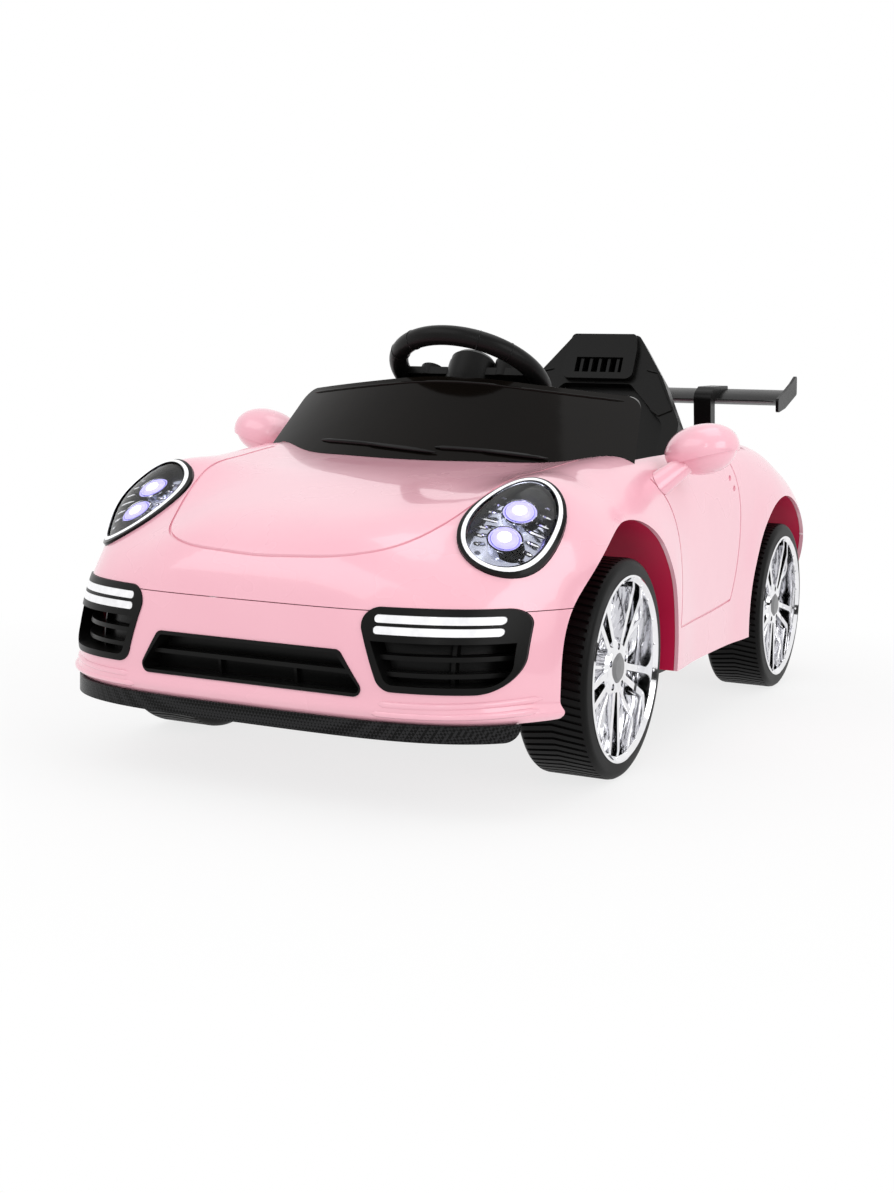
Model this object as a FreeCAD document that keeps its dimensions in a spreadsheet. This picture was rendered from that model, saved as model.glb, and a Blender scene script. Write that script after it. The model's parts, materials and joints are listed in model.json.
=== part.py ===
"""Electric ride-on car for one child, as a parametric document.

The car faces -Y, its left side is +X and it stands on Z = 0. Sizes are in millimetres.
"""
import FreeCAD, Part
import math
import os
import re

import Sketcher

Vector = FreeCAD.Vector
Rotation = FreeCAD.Rotation
X_AXIS = Vector(1, 0, 0)
Y_AXIS = Vector(0, 1, 0)
Z_AXIS = Vector(0, 0, 1)
SIDES = {"left": 1, "right": -1}

# Driving dimensions
SIZES = {
    # Layout
    "wheelbase": 574,
    "front_overhang": 253,
    "rear_overhang": 203,
    # Wheels
    "tyre_radius": 105,
    "tyre_width": 70,
    "wheel_face": 258,
    "rim_radius": 89,
    "rim_lip": 4,
    "rim_depth": 26,
    "rim_wall": 4.5,
    "rim_seat_gap": 0.2,
    "tread_shoulder": 7,
    "web_wall": 5,
    "web_inset": 8,
    "wheel_hub_radius": 20,
    "wheel_hub_end": 5,
    "axle_radius": 6,
    "running_gap": 0.05,
    "rim_hub_radius": 27,
    "rim_hub_face": 27,
    "spoke_width": 6.5,
    "spoke_spread": 11,
    "spoke_fan": 24,
    "spoke_back": 10,
    "lug_circle": 20.5,
    "lug_radius": 3.2,
    "lug_depth": 5,
    "cap_radius": 14,
    "cap_depth": 5,
    "cap_crown": 3,
    "nut_bore": 11.5,
    "nut_radius": 9,
    "nut_depth": 6,
    # Body law
    "body_bottom": 82,
    "nose_half_width": 255,
    "body_half_width": 262,
    "waist_half_width": 254,
    "haunch_half_width": 256,
    "tail_half_width": 253,
    "foot_ahead": 243,
    "nose_height": 150,
    "seam_ahead": 252.5,
    "seam_height": 176,
    "brow_ahead": 245,
    "brow_height": 208,
    "bonnet_lip_ahead": 203,
    "bonnet_lip_height": 238,
    "bonnet_mid_ahead": 130,
    "bonnet_mid_height": 258,
    "bonnet_rear_ahead": 62,
    "bonnet_rear_height": 273,
    "front_crown": 284,
    "cowl_behind": 75,
    "cowl_height": 295,
    "waist_height": 309,
    "deck_ahead": 114,
    "deck_height": 320,
    "rear_crown": 311,
    "tail_foot": 185,
    "tail_height": 160,
    "duck_behind": 182,
    "duck_height": 238,
    "tail_deck_behind": 110,
    "tail_deck_height": 284,
    "crest_lamp": 23,
    "lamp_valley": 12,
    "crest_front": 14,
    "crest_door": 19,
    "crest_rear": 13,
    "flare_proud": 7,
    "flare_spread": 26,
    "skirt_proud": 6,
    "skirt_height": 91,
    "skirt_spread": 8,
    "shell_wall": 4,
    "panel_gap": 0.8,
    "fit_gap": 0.3,
    "rear_seam_height": 190,
    "arch_radius": 146,
    "arch_drop": 5,
    "groove_width": 2.4,
    "groove_depth": 1.8,
    # Cockpit opening, measured back from the front axle
    "cockpit_half": 213,
    "cockpit_tail_half": 128,
    "cockpit_front": 122,
    "cockpit_bow": 62,
    "cockpit_taper": 372,
    "cockpit_rear": 580,
    "cockpit_corner": 36,
    # Windscreen
    "screen_half": 219,
    "screen_base": 110,
    "screen_base_height": 292,
    "screen_top_half": 203,
    "screen_top": 172,
    "screen_top_height": 362,
    "screen_crown": 20,
    "screen_bow": 64,
    "screen_wall": 5,
    "screen_corner": 22,
    # Dashboard
    "dash_bottom": 248,
    "dash_top": 298,
    "dash_rear": 150,
    "pod_half": 46,
    "pod_height": 34,
    "column_boss_radius": 20,
    "column_boss_reach": 24,
    # Front lamps and openings
    "lamp_x": 197,
    "lamp_ahead": 136,
    "lamp_height": 244.6,
    "lamp_long": 63.5,
    "lamp_wide": 44.5,
    "lamp_rim": 8,
    "lamp_depth": 26,
    "lamp_proud": 2.5,
    "lens_wall": 3,
    "reflector_wall": 4,
    "projector_radius": 15,
    "projector_spread": 17,
    "grille_top_half": 93,
    "grille_foot_half": 118,
    "grille_top": 141,
    "grille_foot": 102,
    "grille_corner": 7,
    "insert_depth": 24,
    "insert_end": 160,
    "insert_wall": 3,
    "frame_width": 6,
    "frame_proud": 1.2,
    "slat_height": 4,
    "slat_depth": 16,
    "rib_width": 3,
    "intake_inner_top": 107,
    "intake_inner_foot": 130,
    "intake_outer": 234,
    "intake_top": 179,
    "intake_foot": 109,
    "intake_corner": 15,
    "strip_inner": 124,
    "strip_outer": 220,
    "strip_height": 6.5,
    "strip_pitch": 9.5,
    "strip_drop": 3,
    "strip_depth": 6,
    # Front lip
    "lip_bottom": 67,
    "lip_proud": 5,
    "lip_depth": 30,
    "lip_end": 186,
    # Rear
    "tail_lamp_inner": 84,
    "tail_lamp_outer": 236,
    "tail_lamp_bottom": 205,
    "tail_lamp_height": 20,
    "tail_lamp_depth": 8,
    "diffuser_half": 148,
    "diffuser_top": 122,
    "diffuser_depth": 16,
    "diffuser_proud": 3,
    "diffuser_fin": 6,
    # Rear wing
    "wing_half": 214,
    "wing_front": 103,
    "wing_chord": 86,
    "wing_height": 368,
    "wing_wall": 17,
    "wing_pitch": 6,
    "end_plate_wall": 4,
    "end_plate_height": 54,
    "end_plate_margin": 6,
    "support_x": 118,
    "support_wall": 24,
    "support_width": 22,
    # Mirrors
    "mirror_inner": 230,
    "mirror_outer": 306,
    "mirror_behind": 182,
    "mirror_height": 309,
    "mirror_rise": 8,
    "mirror_long": 37,
    "mirror_tall": 28,
    "mirror_cut": 20,
    "mirror_glass_wall": 2,
    "mirror_glass_long": 22,
    "mirror_glass_tall": 16,
    "mirror_step": 3,
    "mirror_stalk": 11,
    "mirror_foot_x": 230,
    "mirror_foot_behind": 134,
    "mirror_foot_height": 268,
    # Chassis tub
    "tub_wall": 4,
    "tub_bottom": 62,
    "tub_front": 76,
    "foot_half": 128,
    "arch_margin": 155,
    "tub_top": 284,
    "tub_tail": 54,
    "tub_tail_half": 118,
    "tub_tail_top": 195,
    "pan_level": 86,
    "rail_x": 118,
    "rail_wall": 6,
    "rail_behind": 38,
    "rail_top": 140,
    "ledge_width": 12,
    # Seat
    "seat_front": 300,
    "seat_level": 166,
    "seat_wall": 24,
    "seat_half": 150,
    "seat_lean": 25,
    "seat_hinge": 470,
    "seat_back_wall": 32,
    "seat_back_height": 301,
    "headrest_half": 47,
    "headrest_drop": 62,
    "headrest_foot_half": 90,
    "shoulder_drop": 128,
    "shoulder_half": 124,
    "seat_dish": 12,
    "bolster": 22,
    "headrest_slot_half": 33,
    "headrest_slot_height": 22,
    "headrest_slot_drop": 37,
    "headrest_bar": 4,
    "headrest_pad_half": 50,
    "headrest_pad_height": 68,
    "headrest_pad_proud": 8,
    # Front axle and steering
    "kingpin_x": 150,
    "kingpin_radius": 4,
    "kingpin_head": 7,
    "kingpin_head_depth": 4,
    "lug_gap": 0.5,
    "beam_half_depth": 14,
    "beam_plate": 8,
    "beam_web": 10,
    "beam_web_half": 118,
    "knuckle_length": 24,
    "knuckle_depth": 24,
    "knuckle_height": 46,
    "steer_arm": 50,
    "steer_arm_width": 14,
    "steer_arm_wall": 6,
    "steer_pin_radius": 4,
    "steer_pin_height": 17,
    "link_gap": 0.9,
    "link_travel": 3.4,
    "stub_collar": 10,
    "tie_rod_width": 28,
    "tie_rod_wall": 6,
    "tie_rod_lift": 1,
    "yoke_height": 20,
    "yoke_wall": 6,
    "column_radius": 5,
    "column_tilt": 59,
    "crank_throw": 30,
    "crank_pin": 15,
    "bearing_radius": 12,
    "bearing_length": 22,
    "bearing_back": 34,
    "steering_behind": 176,
    "steering_height": 379.8,
    "steering_radius": 82,
    "steering_grip": 10.6,
    "steering_hub_radius": 27,
    "steering_hub_depth": 31,
    "steering_spoke_width": 26,
    "steering_spoke_wall": 9,
    "hub_pad_wall": 11,
    "horn_x": 49,
    "horn_pod": 13.5,
    "horn_pod_height": 14,
    "horn_radius": 9,
    "music_x": 41,
    "music_pod": 14,
    "music_pod_height": 22,
    "horn_proud": 3,
    "horn_travel": 2,
    # Rear drive
    "gearbox_inner": 118.3,
    "gearbox_width": 48,
    "gearbox_radius": 40,
    "gearbox_boss_radius": 27,
    "wheel_side_gap": 0.6,
    "motor_radius": 18.5,
    "motor_length": 60,
    "motor_behind": 12,
    "motor_lift": 60,
    "motor_margin": 8,
    # Electrical pieces
    "battery_length": 151,
    "battery_width": 66,
    "battery_height": 94,
    "battery_ahead": 105,
    "control_length": 96,
    "control_width": 62,
    "control_height": 32,
    "control_behind": 330,
    # Controls
    "pedal_x": -66,
    "pedal_width": 56,
    "pedal_length": 86,
    "pedal_wall": 8,
    "pedal_behind": 168,
    "pedal_lift": 8,
    "pedal_slope": 32,
    "pedal_pin_radius": 3,
    "button_x": 96,
    "button_radius": 9,
    "button_proud": 4,
    "button_depth": 12,
    "button_gap": 0.35,
    "control_level": 274,
    "switch_x": 140,
    "switch_width": 14,
    "switch_radius": 11,
    "switch_inset": 6,
    "switch_fin": 3,
    "socket_x": -110,
    "socket_radius": 8,
    "socket_flange": 11,
    "socket_flange_wall": 2,
    "socket_bore": 2.75,
    "socket_depth": 14,
}

# Shape numbers of the body law: places run 0 to 1 over the nose, 1 to 2 between the axles, 2 to 3 over the tail
FULLNESS = [(0, 3.8), (0.2, 3.6), (0.39, 3.7), (0.5, 5.3), (0.65, 9.2), (0.8, 8), (1, 6.6), (1.5, 6.6),
            (2, 7.4), (2.4, 5.4), (3, 3.8)]
CREST_PLACE = [(0, 0.77), (0.5, 0.79), (1, 0.77), (1.5, 0.86), (2, 0.79), (3, 0.75)]
CREST_SPREAD = 0.17
VALLEY_PLACE = 0.6
VALLEY_SPREAD = 0.2
NOSE_PLACES = [0, 0.015, 0.03, 0.045, 0.06, 0.08, 0.11, 0.15, 0.2, 0.27, 0.35, 0.44, 0.53, 0.62, 0.72, 0.81,
               0.9]
MIDDLE_STEPS = 14
HALF_POLES = 26
SECTION_STEPS = 160
LINE_STEPS = 20
POLE_RADIUS = 25
HOLLOW_POLE_RADIUS = 12
HOLLOW_TUCK = 0.05
HOLLOW_DROP = 12
FAR = 700

doc = FreeCAD.newDocument("ride_on_car")
sheet = doc.addObject("Spreadsheet::Sheet", "dims")
for row, (alias, number) in enumerate(SIZES.items(), 1):
    sheet.set(f"A{row}", alias.replace("_", " "))
    sheet.set(f"B{row}", str(number))
    sheet.setAlias(f"B{row}", alias)
doc.recompute()

nodes = []


def size(alias):
    """Number that the sheet holds under this name."""
    return float(sheet.get(alias))


def bound(text):
    """Expression with the sheet's name before each of its aliases."""
    return re.sub(r"[a-z_]+", lambda word: f"dims.{word[0]}" if word[0] in SIZES else word[0], str(text))


def value(text):
    """Number that an expression over the sheet gives."""
    return float(sheet.evalExpression(bound(text)))


FRONT_AXLE = "((front_overhang - wheelbase - rear_overhang) / 2)"
REAR_AXLE = "((front_overhang + wheelbase - rear_overhang) / 2)"
front_y = value(FRONT_AXLE)
rear_y = value(REAR_AXLE)
axle_z = size("tyre_radius")
bottom = size("body_bottom")


def bind(item, prop, text):
    """Tie one property of a document object to the sheet."""
    item.setExpression(prop, bound(text))


def node(item, label):
    """Name a finished sub-part and keep it for the export."""
    item.Label = label
    nodes.append(item)
    return item


def feature(label, shape):
    """Sub-part whose form only Part's own functions can give."""
    item = doc.addObject("Part::Feature", label)
    item.Shape = shape
    return node(item, label)


def box(name, x, y, z):
    """Block between low and high expressions along each axis."""
    item = doc.addObject("Part::Box", name)
    for prop, axis, (low, high) in (("Length", "x", x), ("Width", "y", y), ("Height", "z", z)):
        bind(item, prop, f"({high}) - ({low})")
        bind(item, f"Placement.Base.{axis}", low)
    return item


def rod(name, radius, start, axis, length):
    """Cylinder from a start point along one of the axes."""
    item = doc.addObject("Part::Cylinder", name)
    bind(item, "Radius", radius)
    bind(item, "Height", length)
    item.Placement = FreeCAD.Placement(Vector(), Rotation(Z_AXIS, axis))
    for letter, text in zip("xyz", start):
        bind(item, f"Placement.Base.{letter}", text)
    return item


def fuse(name, items):
    item = doc.addObject("Part::MultiFuse", name)
    item.Shapes = items
    return item


def cut(name, base, tools):
    item = doc.addObject("Part::Cut", name)
    item.Base = base
    item.Tool = tools[0] if len(tools) == 1 else fuse(name + "_tools", tools)
    return item


def side_span(sign, inner, outer):
    """Span along X on the left or right side, from its inner and outer distances."""
    return (inner, outer) if sign > 0 else (f"-({outer})", f"-({inner})")


def outline(body, plane, loops):
    """Sketch of closed loops of straight lines whose corners are all bound to the sheet."""
    sketch = body.newObject("Sketcher::SketchObject", body.Name + "_outline")
    support = next(part for part in body.Origin.OriginFeatures if part.Role == plane)
    sketch.AttachmentSupport = [(support, "")]
    sketch.MapMode = "FlatFace"
    for corners in loops:
        first = sketch.GeometryCount
        points = [Vector(value(across), value(up), 0) for across, up in corners]
        for start, end in zip(points, points[1:] + points[:1]):
            sketch.addGeometry(Part.LineSegment(start, end))
        for index, (across, up) in enumerate(corners):
            edge = first + index
            after = first + (index + 1) % len(corners)
            sketch.addConstraint(Sketcher.Constraint("Coincident", edge, 2, after, 1))
            for kind, text in (("DistanceX", across), ("DistanceY", up)):
                place = sketch.addConstraint(Sketcher.Constraint(kind, -1, 1, edge, 1, value(text)))
                sketch.setExpression(f"Constraints[{place}]", bound(text))
    return sketch


def turned(body, corners):
    """Ring turned round the body's own Z axis, from corners of (radius, height)."""
    sketch = outline(body, "XZ_Plane", [corners])
    ring = body.newObject("PartDesign::Revolution", body.Name + "_turn")
    ring.Profile = sketch
    ring.ReferenceAxis = (sketch, ["V_Axis"])
    ring.Angle = 360
    return ring


def rounded(points, radii):
    """Closed planar wire through points, each corner rounded by its radius."""
    if not isinstance(radii, (list, tuple)):
        radii = [radii] * len(points)
    edges = []
    ends = []
    for index, corner in enumerate(points):
        before = (points[index - 1] - corner).normalize()
        after = (points[(index + 1) % len(points)] - corner).normalize()
        half = before.getAngle(after) / 2
        if radii[index] <= 0:
            ends.append((corner, None, corner))
            continue
        reach = radii[index] / math.tan(half)
        middle = (before + after).normalize() * (radii[index] / math.sin(half) - radii[index])
        ends.append((corner + before * reach, corner + middle, corner + after * reach))
    for index, (start, middle, end) in enumerate(ends):
        if middle is not None:
            edges.append(Part.Arc(start, middle, end).toShape())
        edges.append(Part.LineSegment(end, ends[(index + 1) % len(ends)][0]).toShape())
    return Part.Wire(edges)


def prism(points, radii, along):
    """Solid swept from a rounded planar outline along a vector."""
    return Part.Face(rounded(points, radii)).extrude(along)


def block(x, y, z):
    """Plain block between low and high numbers along each axis."""
    return Part.makeBox(x[1] - x[0], y[1] - y[0], z[1] - z[0], Vector(x[0], y[0], z[0]))


def mirrored(shape):
    """The same form on the car's other side."""
    return shape.mirror(Vector(), X_AXIS)


def both(shape):
    """A form of the left side and its twin on the right."""
    return [shape, mirrored(shape)]


# Body law

def through(knots):
    """Smooth line through (place, value) knots, as a function of the place."""
    curve = Part.BSplineCurve()
    curve.interpolate(Points=[Vector(*knot, 0) for knot in knots],
                      Parameters=[float(place) for place, _ in knots])
    first = knots[0][0]
    last = knots[-1][0]
    return lambda place: curve.value(min(max(place, first), last)).y


def polar(points):
    """Knots of (angle, reach) seen from the axle's foot, from points of (distance, height)."""
    return [(math.degrees(math.atan2(high - bottom, far)), math.hypot(far, high - bottom)) for far,
            high in points]


nose_reach = through(polar([
    (size("foot_ahead"), bottom),
    (size("front_overhang"), size("nose_height")),
    (size("seam_ahead"), size("seam_height")),
    (size("brow_ahead"), size("brow_height")),
    (size("bonnet_lip_ahead"), size("bonnet_lip_height")),
    (size("bonnet_mid_ahead"), size("bonnet_mid_height")),
    (size("bonnet_rear_ahead"), size("bonnet_rear_height")),
    (0, size("front_crown")),
]))
tail_reach = through(polar([
    (size("tail_foot"), bottom),
    (size("rear_overhang"), size("tail_height")),
    (size("duck_behind"), size("duck_height")),
    (size("tail_deck_behind"), size("tail_deck_height")),
    (0, size("rear_crown")),
]))
spine_height = through([
    (front_y, size("front_crown")),
    (front_y + size("cowl_behind"), size("cowl_height")),
    ((front_y + rear_y) / 2, size("waist_height")),
    (rear_y - size("deck_ahead"), size("deck_height")),
    (rear_y, size("rear_crown")),
])
half_width = through([
    (0, size("nose_half_width")),
    (0.5, (size("nose_half_width") + size("body_half_width")) / 2),
    (1, size("body_half_width")),
    (1.5, size("waist_half_width")),
    (2, size("haunch_half_width")),
    (3, size("tail_half_width")),
])
crest_height = through([
    (0, 0),
    (0.35, 0),
    (0.5, size("crest_lamp") / 12),
    (0.6, size("crest_lamp") / 2.6),
    (0.72, size("crest_lamp")),
    (0.86, size("crest_lamp") * 0.7),
    (1, size("crest_front")),
    (1.5, size("crest_door")),
    (2, size("crest_rear")),
    (2.7, 0),
    (3, 0),
])
valley_depth = through([
    (0, 0),
    (0.2, 0),
    (0.41, size("lamp_valley")),
    (0.5, size("lamp_valley") * 0.75),
    (0.6, size("lamp_valley") / 8),
    (0.66, 0),
    (1, 0),
    (3, 0),
])
fullness = through(FULLNESS)
crest_place = through(CREST_PLACE)


def bell(distance):
    return math.exp(-distance ** 2)


def flare(point):
    """How far the body stands out beside the wheel arches."""
    total = 0
    for axle_y in (front_y, rear_y):
        away = math.hypot(point.y - axle_y, point.z - axle_z + size("arch_drop"))
        total += size("flare_proud") * bell((away - size("arch_radius")) / size("flare_spread"))
    return total


def half_section(place, inset):
    """Poles of one half section from the spine out and down, evenly spaced along it."""
    hollow = inset > 0
    width = half_width(place) - inset
    power = fullness(place)
    end = HOLLOW_POLE_RADIUS if hollow else POLE_RADIUS
    if 1 <= place <= 2:
        y = front_y + (place - 1) * size("wheelbase")
        reach = spine_height(y) - bottom
        end = -HOLLOW_DROP if hollow else 0

        def point(across, out):
            return Vector(across, y, bottom + out)
    else:
        angle = 90 * (place if place < 1 else 3 - place)
        ahead = place < 1
        reach = nose_reach(angle) if ahead else tail_reach(angle)
        turn = math.radians(angle)
        if ahead:
            height = reach * math.sin(turn) + bottom
            skirt = size("skirt_proud") * bell((height - size("skirt_height")) / size("skirt_spread"))
            reach += skirt
            width += skirt
        way = -math.cos(turn) if ahead else math.cos(turn)
        foot = front_y if ahead else rear_y

        def point(across, out):
            return Vector(across, foot + out * way, bottom + out * math.sin(turn))
    reach -= inset
    line = []
    for step in range(SECTION_STEPS + 1):
        turn_step = math.pi / 2 * step / SECTION_STEPS
        share = math.sin(turn_step) ** (2 / power)
        crest = crest_height(place) * bell((share - crest_place(place)) / CREST_SPREAD) * (1 - share ** 8)
        valley = valley_depth(place) * bell((share - VALLEY_PLACE) / VALLEY_SPREAD)
        out = reach * max(math.cos(turn_step), 0) ** (2 / power) + crest - valley
        if out < end:
            break
        line.append((share, out))
    line.append((line[-1][0] if end < 0 else 1, end))
    line = [point(share * width, out) for share, out in line]
    line = [Vector(spot.x + flare(spot) * (spot.x / width) ** 6, spot.y, spot.z) for spot in line]
    travel = [0]
    for start, stop in zip(line, line[1:]):
        travel.append(travel[-1] + start.distanceToPoint(stop))
    poles = []
    index = 0
    for number in range(HALF_POLES + 1):
        target = travel[-1] * number / HALF_POLES
        while index < len(travel) - 2 and travel[index + 1] < target:
            index += 1
        part = (target - travel[index]) / (travel[index + 1] - travel[index])
        poles.append(line[index] + (line[index + 1] - line[index]) * part)
    poles[0].x = 0
    return poles


def uniform_knots(count):
    """Clamped cubic knots and their multiplicities for a row of poles."""
    return list(range(count - 2)), [4] + [1] * (count - 4) + [4]


solids = {}


def body_solid(inset):
    """Closed solid of the body's outside, moved inwards by the inset."""
    if inset in solids:
        return solids[inset]
    start = -HOLLOW_TUCK if inset > 0 else 0
    nose = [start] * (start < 0) + NOSE_PLACES
    places = nose + [1 + step / MIDDLE_STEPS for step in range(MIDDLE_STEPS)] + [3 - place
                                                                                 for place in [1] + nose[::-1]]
    rows = []
    for place in places:
        half = half_section(place, inset)
        rows.append([Vector(-pole.x, pole.y, pole.z) for pole in half[:0:-1]] + half)
    u_knots, u_mults = uniform_knots(len(rows))
    v_knots, v_mults = uniform_knots(len(rows[0]))
    skin = Part.BSplineSurface()
    skin.buildFromPolesMultsKnots(rows, u_mults, v_mults, u_knots, v_knots, False, False, 3, 3)
    right = skin.vIso(v_knots[0]).toShape()
    left = skin.vIso(v_knots[-1]).toShape()
    faces = [skin.toShape(), Part.makeRuledSurface(right, left)]
    for knot in (u_knots[0], u_knots[-1]):
        edge = skin.uIso(knot).toShape()
        back = Part.LineSegment(edge.valueAt(edge.LastParameter), edge.valueAt(edge.FirstParameter))
        faces.append(Part.Face(Part.Wire([edge, back.toShape()])))
    shell = Part.makeShell(faces)
    shell.sewShape()
    solid = Part.makeSolid(shell)
    if solid.Volume < 0:
        solid.reverse()
    solids[inset] = solid
    return solid


def layer(form, outer, inner):
    """What a form shares with the body's skin between two insets."""
    return form.common(body_solid(outer)).cut(body_solid(inner))


def front_prism(corners, radii):
    """Outline of (x, height) corners in the front view, swept back from ahead of the nose."""
    points = [Vector(x, -FAR, z) for x, z in corners]
    return prism(points, radii, Vector(0, FAR + front_y - size("insert_end"), 0))


def rear_prism(corners, radii):
    """Outline of (x, height) corners in the rear view, swept back from the rear axle."""
    points = [Vector(x, rear_y, z) for x, z in corners]
    return prism(points, radii, Vector(0, FAR, 0))


def groove_path(points, along, width):
    """Band of a panel line's width round an open row of points, swept along a vector."""
    line = Part.BSplineCurve()
    line.interpolate(Points=points)
    left = []
    right = []
    for step in range(LINE_STEPS + 1):
        place = line.FirstParameter + (line.LastParameter - line.FirstParameter) * step / LINE_STEPS
        aside = line.tangent(place)[0].cross(along).normalize() * (width / 2)
        left.append(line.value(place) + aside)
        right.append(line.value(place) - aside)
    edges = []
    for row, next_row in ((left, right[::-1]), (right[::-1], left)):
        curve = Part.BSplineCurve()
        curve.interpolate(Points=row)
        edges.append(curve.toShape())
        edges.append(Part.LineSegment(row[-1], next_row[0]).toShape())
    return Part.Face(Part.Wire(edges)).extrude(along)


# Openings that more than one piece needs

def arch(axle_y, radius):
    """Cylinder across the car round one axle."""
    return Part.makeCylinder(radius, 2 * FAR, Vector(-FAR, axle_y, axle_z - size("arch_drop")), X_AXIS)


def cockpit_outline(inset):
    """Plan of the cockpit opening, moved inwards by the inset."""
    front = front_y + size("cockpit_front") + inset
    half = size("cockpit_half") - inset
    tail_half = size("cockpit_tail_half") - inset
    taper = front_y + size("cockpit_taper")
    rear = front_y + size("cockpit_rear") - inset
    bow = front - size("cockpit_bow")
    corners = [(half, taper), (tail_half, rear), (-tail_half, rear), (-half, taper)]
    path = [Vector(half, front, 0)] + [Vector(x, y, 0) for x, y in corners] + [Vector(-half, front, 0)]
    edges = [Part.LineSegment(start, end).toShape() for start, end in zip(path, path[1:])]
    edges.append(Part.Arc(path[-1], Vector(0, bow, 0), path[0]).toShape())
    return Part.Wire(edges)


def cockpit_prism(inset, low, high):
    """Upright solid of the cockpit opening with rounded rear corners."""
    face = Part.Face(cockpit_outline(inset))
    solid = face.extrude(Vector(0, 0, high - low))
    solid.translate(Vector(0, 0, low))
    upright = [edge for edge in solid.Edges
               if abs(edge.tangentAt(edge.FirstParameter).z) > 0.99
               and edge.BoundBox.YMin > front_y + size("cockpit_front") + 50]
    return solid.makeFillet(size("cockpit_corner"), upright)


lamp_axis = Vector(0.232, -0.601, 0.764).normalize()
lamp_slope = Vector(0.05, 0.79, 0.6)
lamp_slope = (lamp_slope - lamp_axis * lamp_axis.dot(lamp_slope)).normalize()
lamp_across = lamp_axis.cross(lamp_slope)
lamp_centre = Vector(size("lamp_x"), front_y - size("lamp_ahead"), size("lamp_height"))


def lamp_oval(margin):
    """Oval of the left headlamp, swept along the lamp's axis through the skin."""
    start = lamp_centre - lamp_axis * 60
    long_end = start + lamp_slope * (size("lamp_long") + margin)
    oval = Part.Ellipse(long_end, start + lamp_across * (size("lamp_wide") + margin), start)
    return Part.Face(Part.Wire([oval.toShape()])).extrude(lamp_axis * 120)


def grille_form(margin):
    top = size("grille_top_half") + margin
    foot = size("grille_foot_half") + margin
    low = size("grille_foot") - margin
    high = size("grille_top") + margin
    return front_prism([(-foot, low), (foot, low), (top, high), (-top, high)],
                       size("grille_corner") + margin)


def intake_form(margin):
    low = size("intake_foot") - margin
    high = size("intake_top") + margin
    outer = size("intake_outer") + margin
    corner = size("intake_corner") + margin
    foot = size("intake_inner_foot") - margin
    top = size("intake_inner_top") - margin
    return front_prism([(foot, low), (outer, low), (outer, high), (top, high)],
                       [corner, 2 * corner, corner, corner])


def tail_lamp_form(margin):
    low = size("tail_lamp_bottom") - margin
    high = size("tail_lamp_bottom") + size("tail_lamp_height") + margin
    inner = size("tail_lamp_inner") - margin
    outer = size("tail_lamp_outer") + margin
    return rear_prism([(inner, low), (outer, low), (outer, high), (inner, high)],
                      size("tail_lamp_height") / 3)


def diffuser_form(margin):
    half = size("diffuser_half") + margin
    top = size("diffuser_top") + margin
    return rear_prism([(-half, 0), (half, 0), (half - top / 4, top), (top / 4 - half, top)], [0, 0, 12, 12])


# Body panels

def body_panels():
    """Body shell and both bumpers, parted at their seams."""
    radius = size("arch_radius")
    shell = body_solid(0).cut(body_solid(size("shell_wall"))).cut([arch(front_y, radius),
                                                                   arch(rear_y, radius)])
    gap = size("panel_gap")
    fit = size("fit_gap")
    intakes = both(intake_form(fit))
    nose = [block((-FAR, FAR), (-FAR, front_y), (0, size("seam_height") - cut_back))
            for cut_back in (gap, 0)]
    tail = [block((-FAR, FAR), (rear_y, FAR), (0, size("rear_seam_height") - cut_back))
            for cut_back in (gap, 0)]
    front_bumper = shell.common(nose[0]).cut([grille_form(fit)] + intakes)
    rear_bumper = shell.common(tail[0]).cut(diffuser_form(fit))
    openings = [nose[1], tail[1], cockpit_prism(0, bottom + size("shell_wall"), FAR)]
    upper = shell.cut(openings + intakes + both(lamp_oval(fit)) + both(tail_lamp_form(fit)))
    floor = body_solid(size("groove_depth"))
    upper = upper.cut([band.cut(floor) for band in panel_lines()])
    feature("body_shell", upper)
    feature("front_bumper", front_bumper)
    feature("rear_bumper", rear_bumper)


def panel_lines():
    """Moulded bonnet and door lines, and the marks of the door pull."""
    width = size("groove_width")
    half = [(60, 232), (100, 220), (130, 182), (156, 110), (171, 20), (178, -60)]
    bonnet = [(-x, y) for x, y in half[::-1]] + [(0, 236)] + half
    lines = [groove_path([Vector(x, front_y - y, 0) for x, y in bonnet], Vector(0, 0, FAR), width)]
    front_line = [(118, 280), (140, 250), (153, 200), (156, 160), (153, 127)]
    foot_line = [(153, 127), (250, 128), (356, 134)]
    rear_line = [(356, 134), (384, 190), (392, 240), (389, 290)]
    for line in (front_line, foot_line, rear_line):
        lines.append(groove_path([Vector(-FAR, front_y + y, z) for y, z in line], Vector(2 * FAR, 0, 0),
                                 width))
    for y, z in ((369, 274), (376, 262)):
        mark = Part.Ellipse(Vector(-FAR, front_y + y + 5, z + 2), Vector(-FAR, front_y + y - 1, z + 2.5),
                            Vector(-FAR, front_y + y, z))
        lines.append(Part.Face(Part.Wire([mark.toShape()])).extrude(Vector(2 * FAR, 0, 0)))
    return lines


# Front inserts and lamps

def carve(form, depth):
    """Part of a form that lies outside the body's skin at a depth."""
    return form.cut(body_solid(depth))


def level_slab(low, high):
    """Flat slab across the nose between two heights."""
    return block((-FAR, FAR), (-FAR, front_y), (low, high))


def insert(outside, opening, bars, ribs):
    """Tray in the skin of the nose, carved out between its bars and ribs."""
    depth = size("insert_depth")
    tray = layer(outside, -size("frame_proud"), depth)
    deep = carve(opening.cut(bars + ribs), depth - size("insert_wall"))
    front = carve(opening.common(Part.makeCompound(bars)), depth - size("slat_depth"))
    middle = carve(opening.common(Part.makeCompound(ribs)).cut(bars), depth - size("slat_depth") / 2)
    return tray.cut([deep, front, middle])


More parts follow.
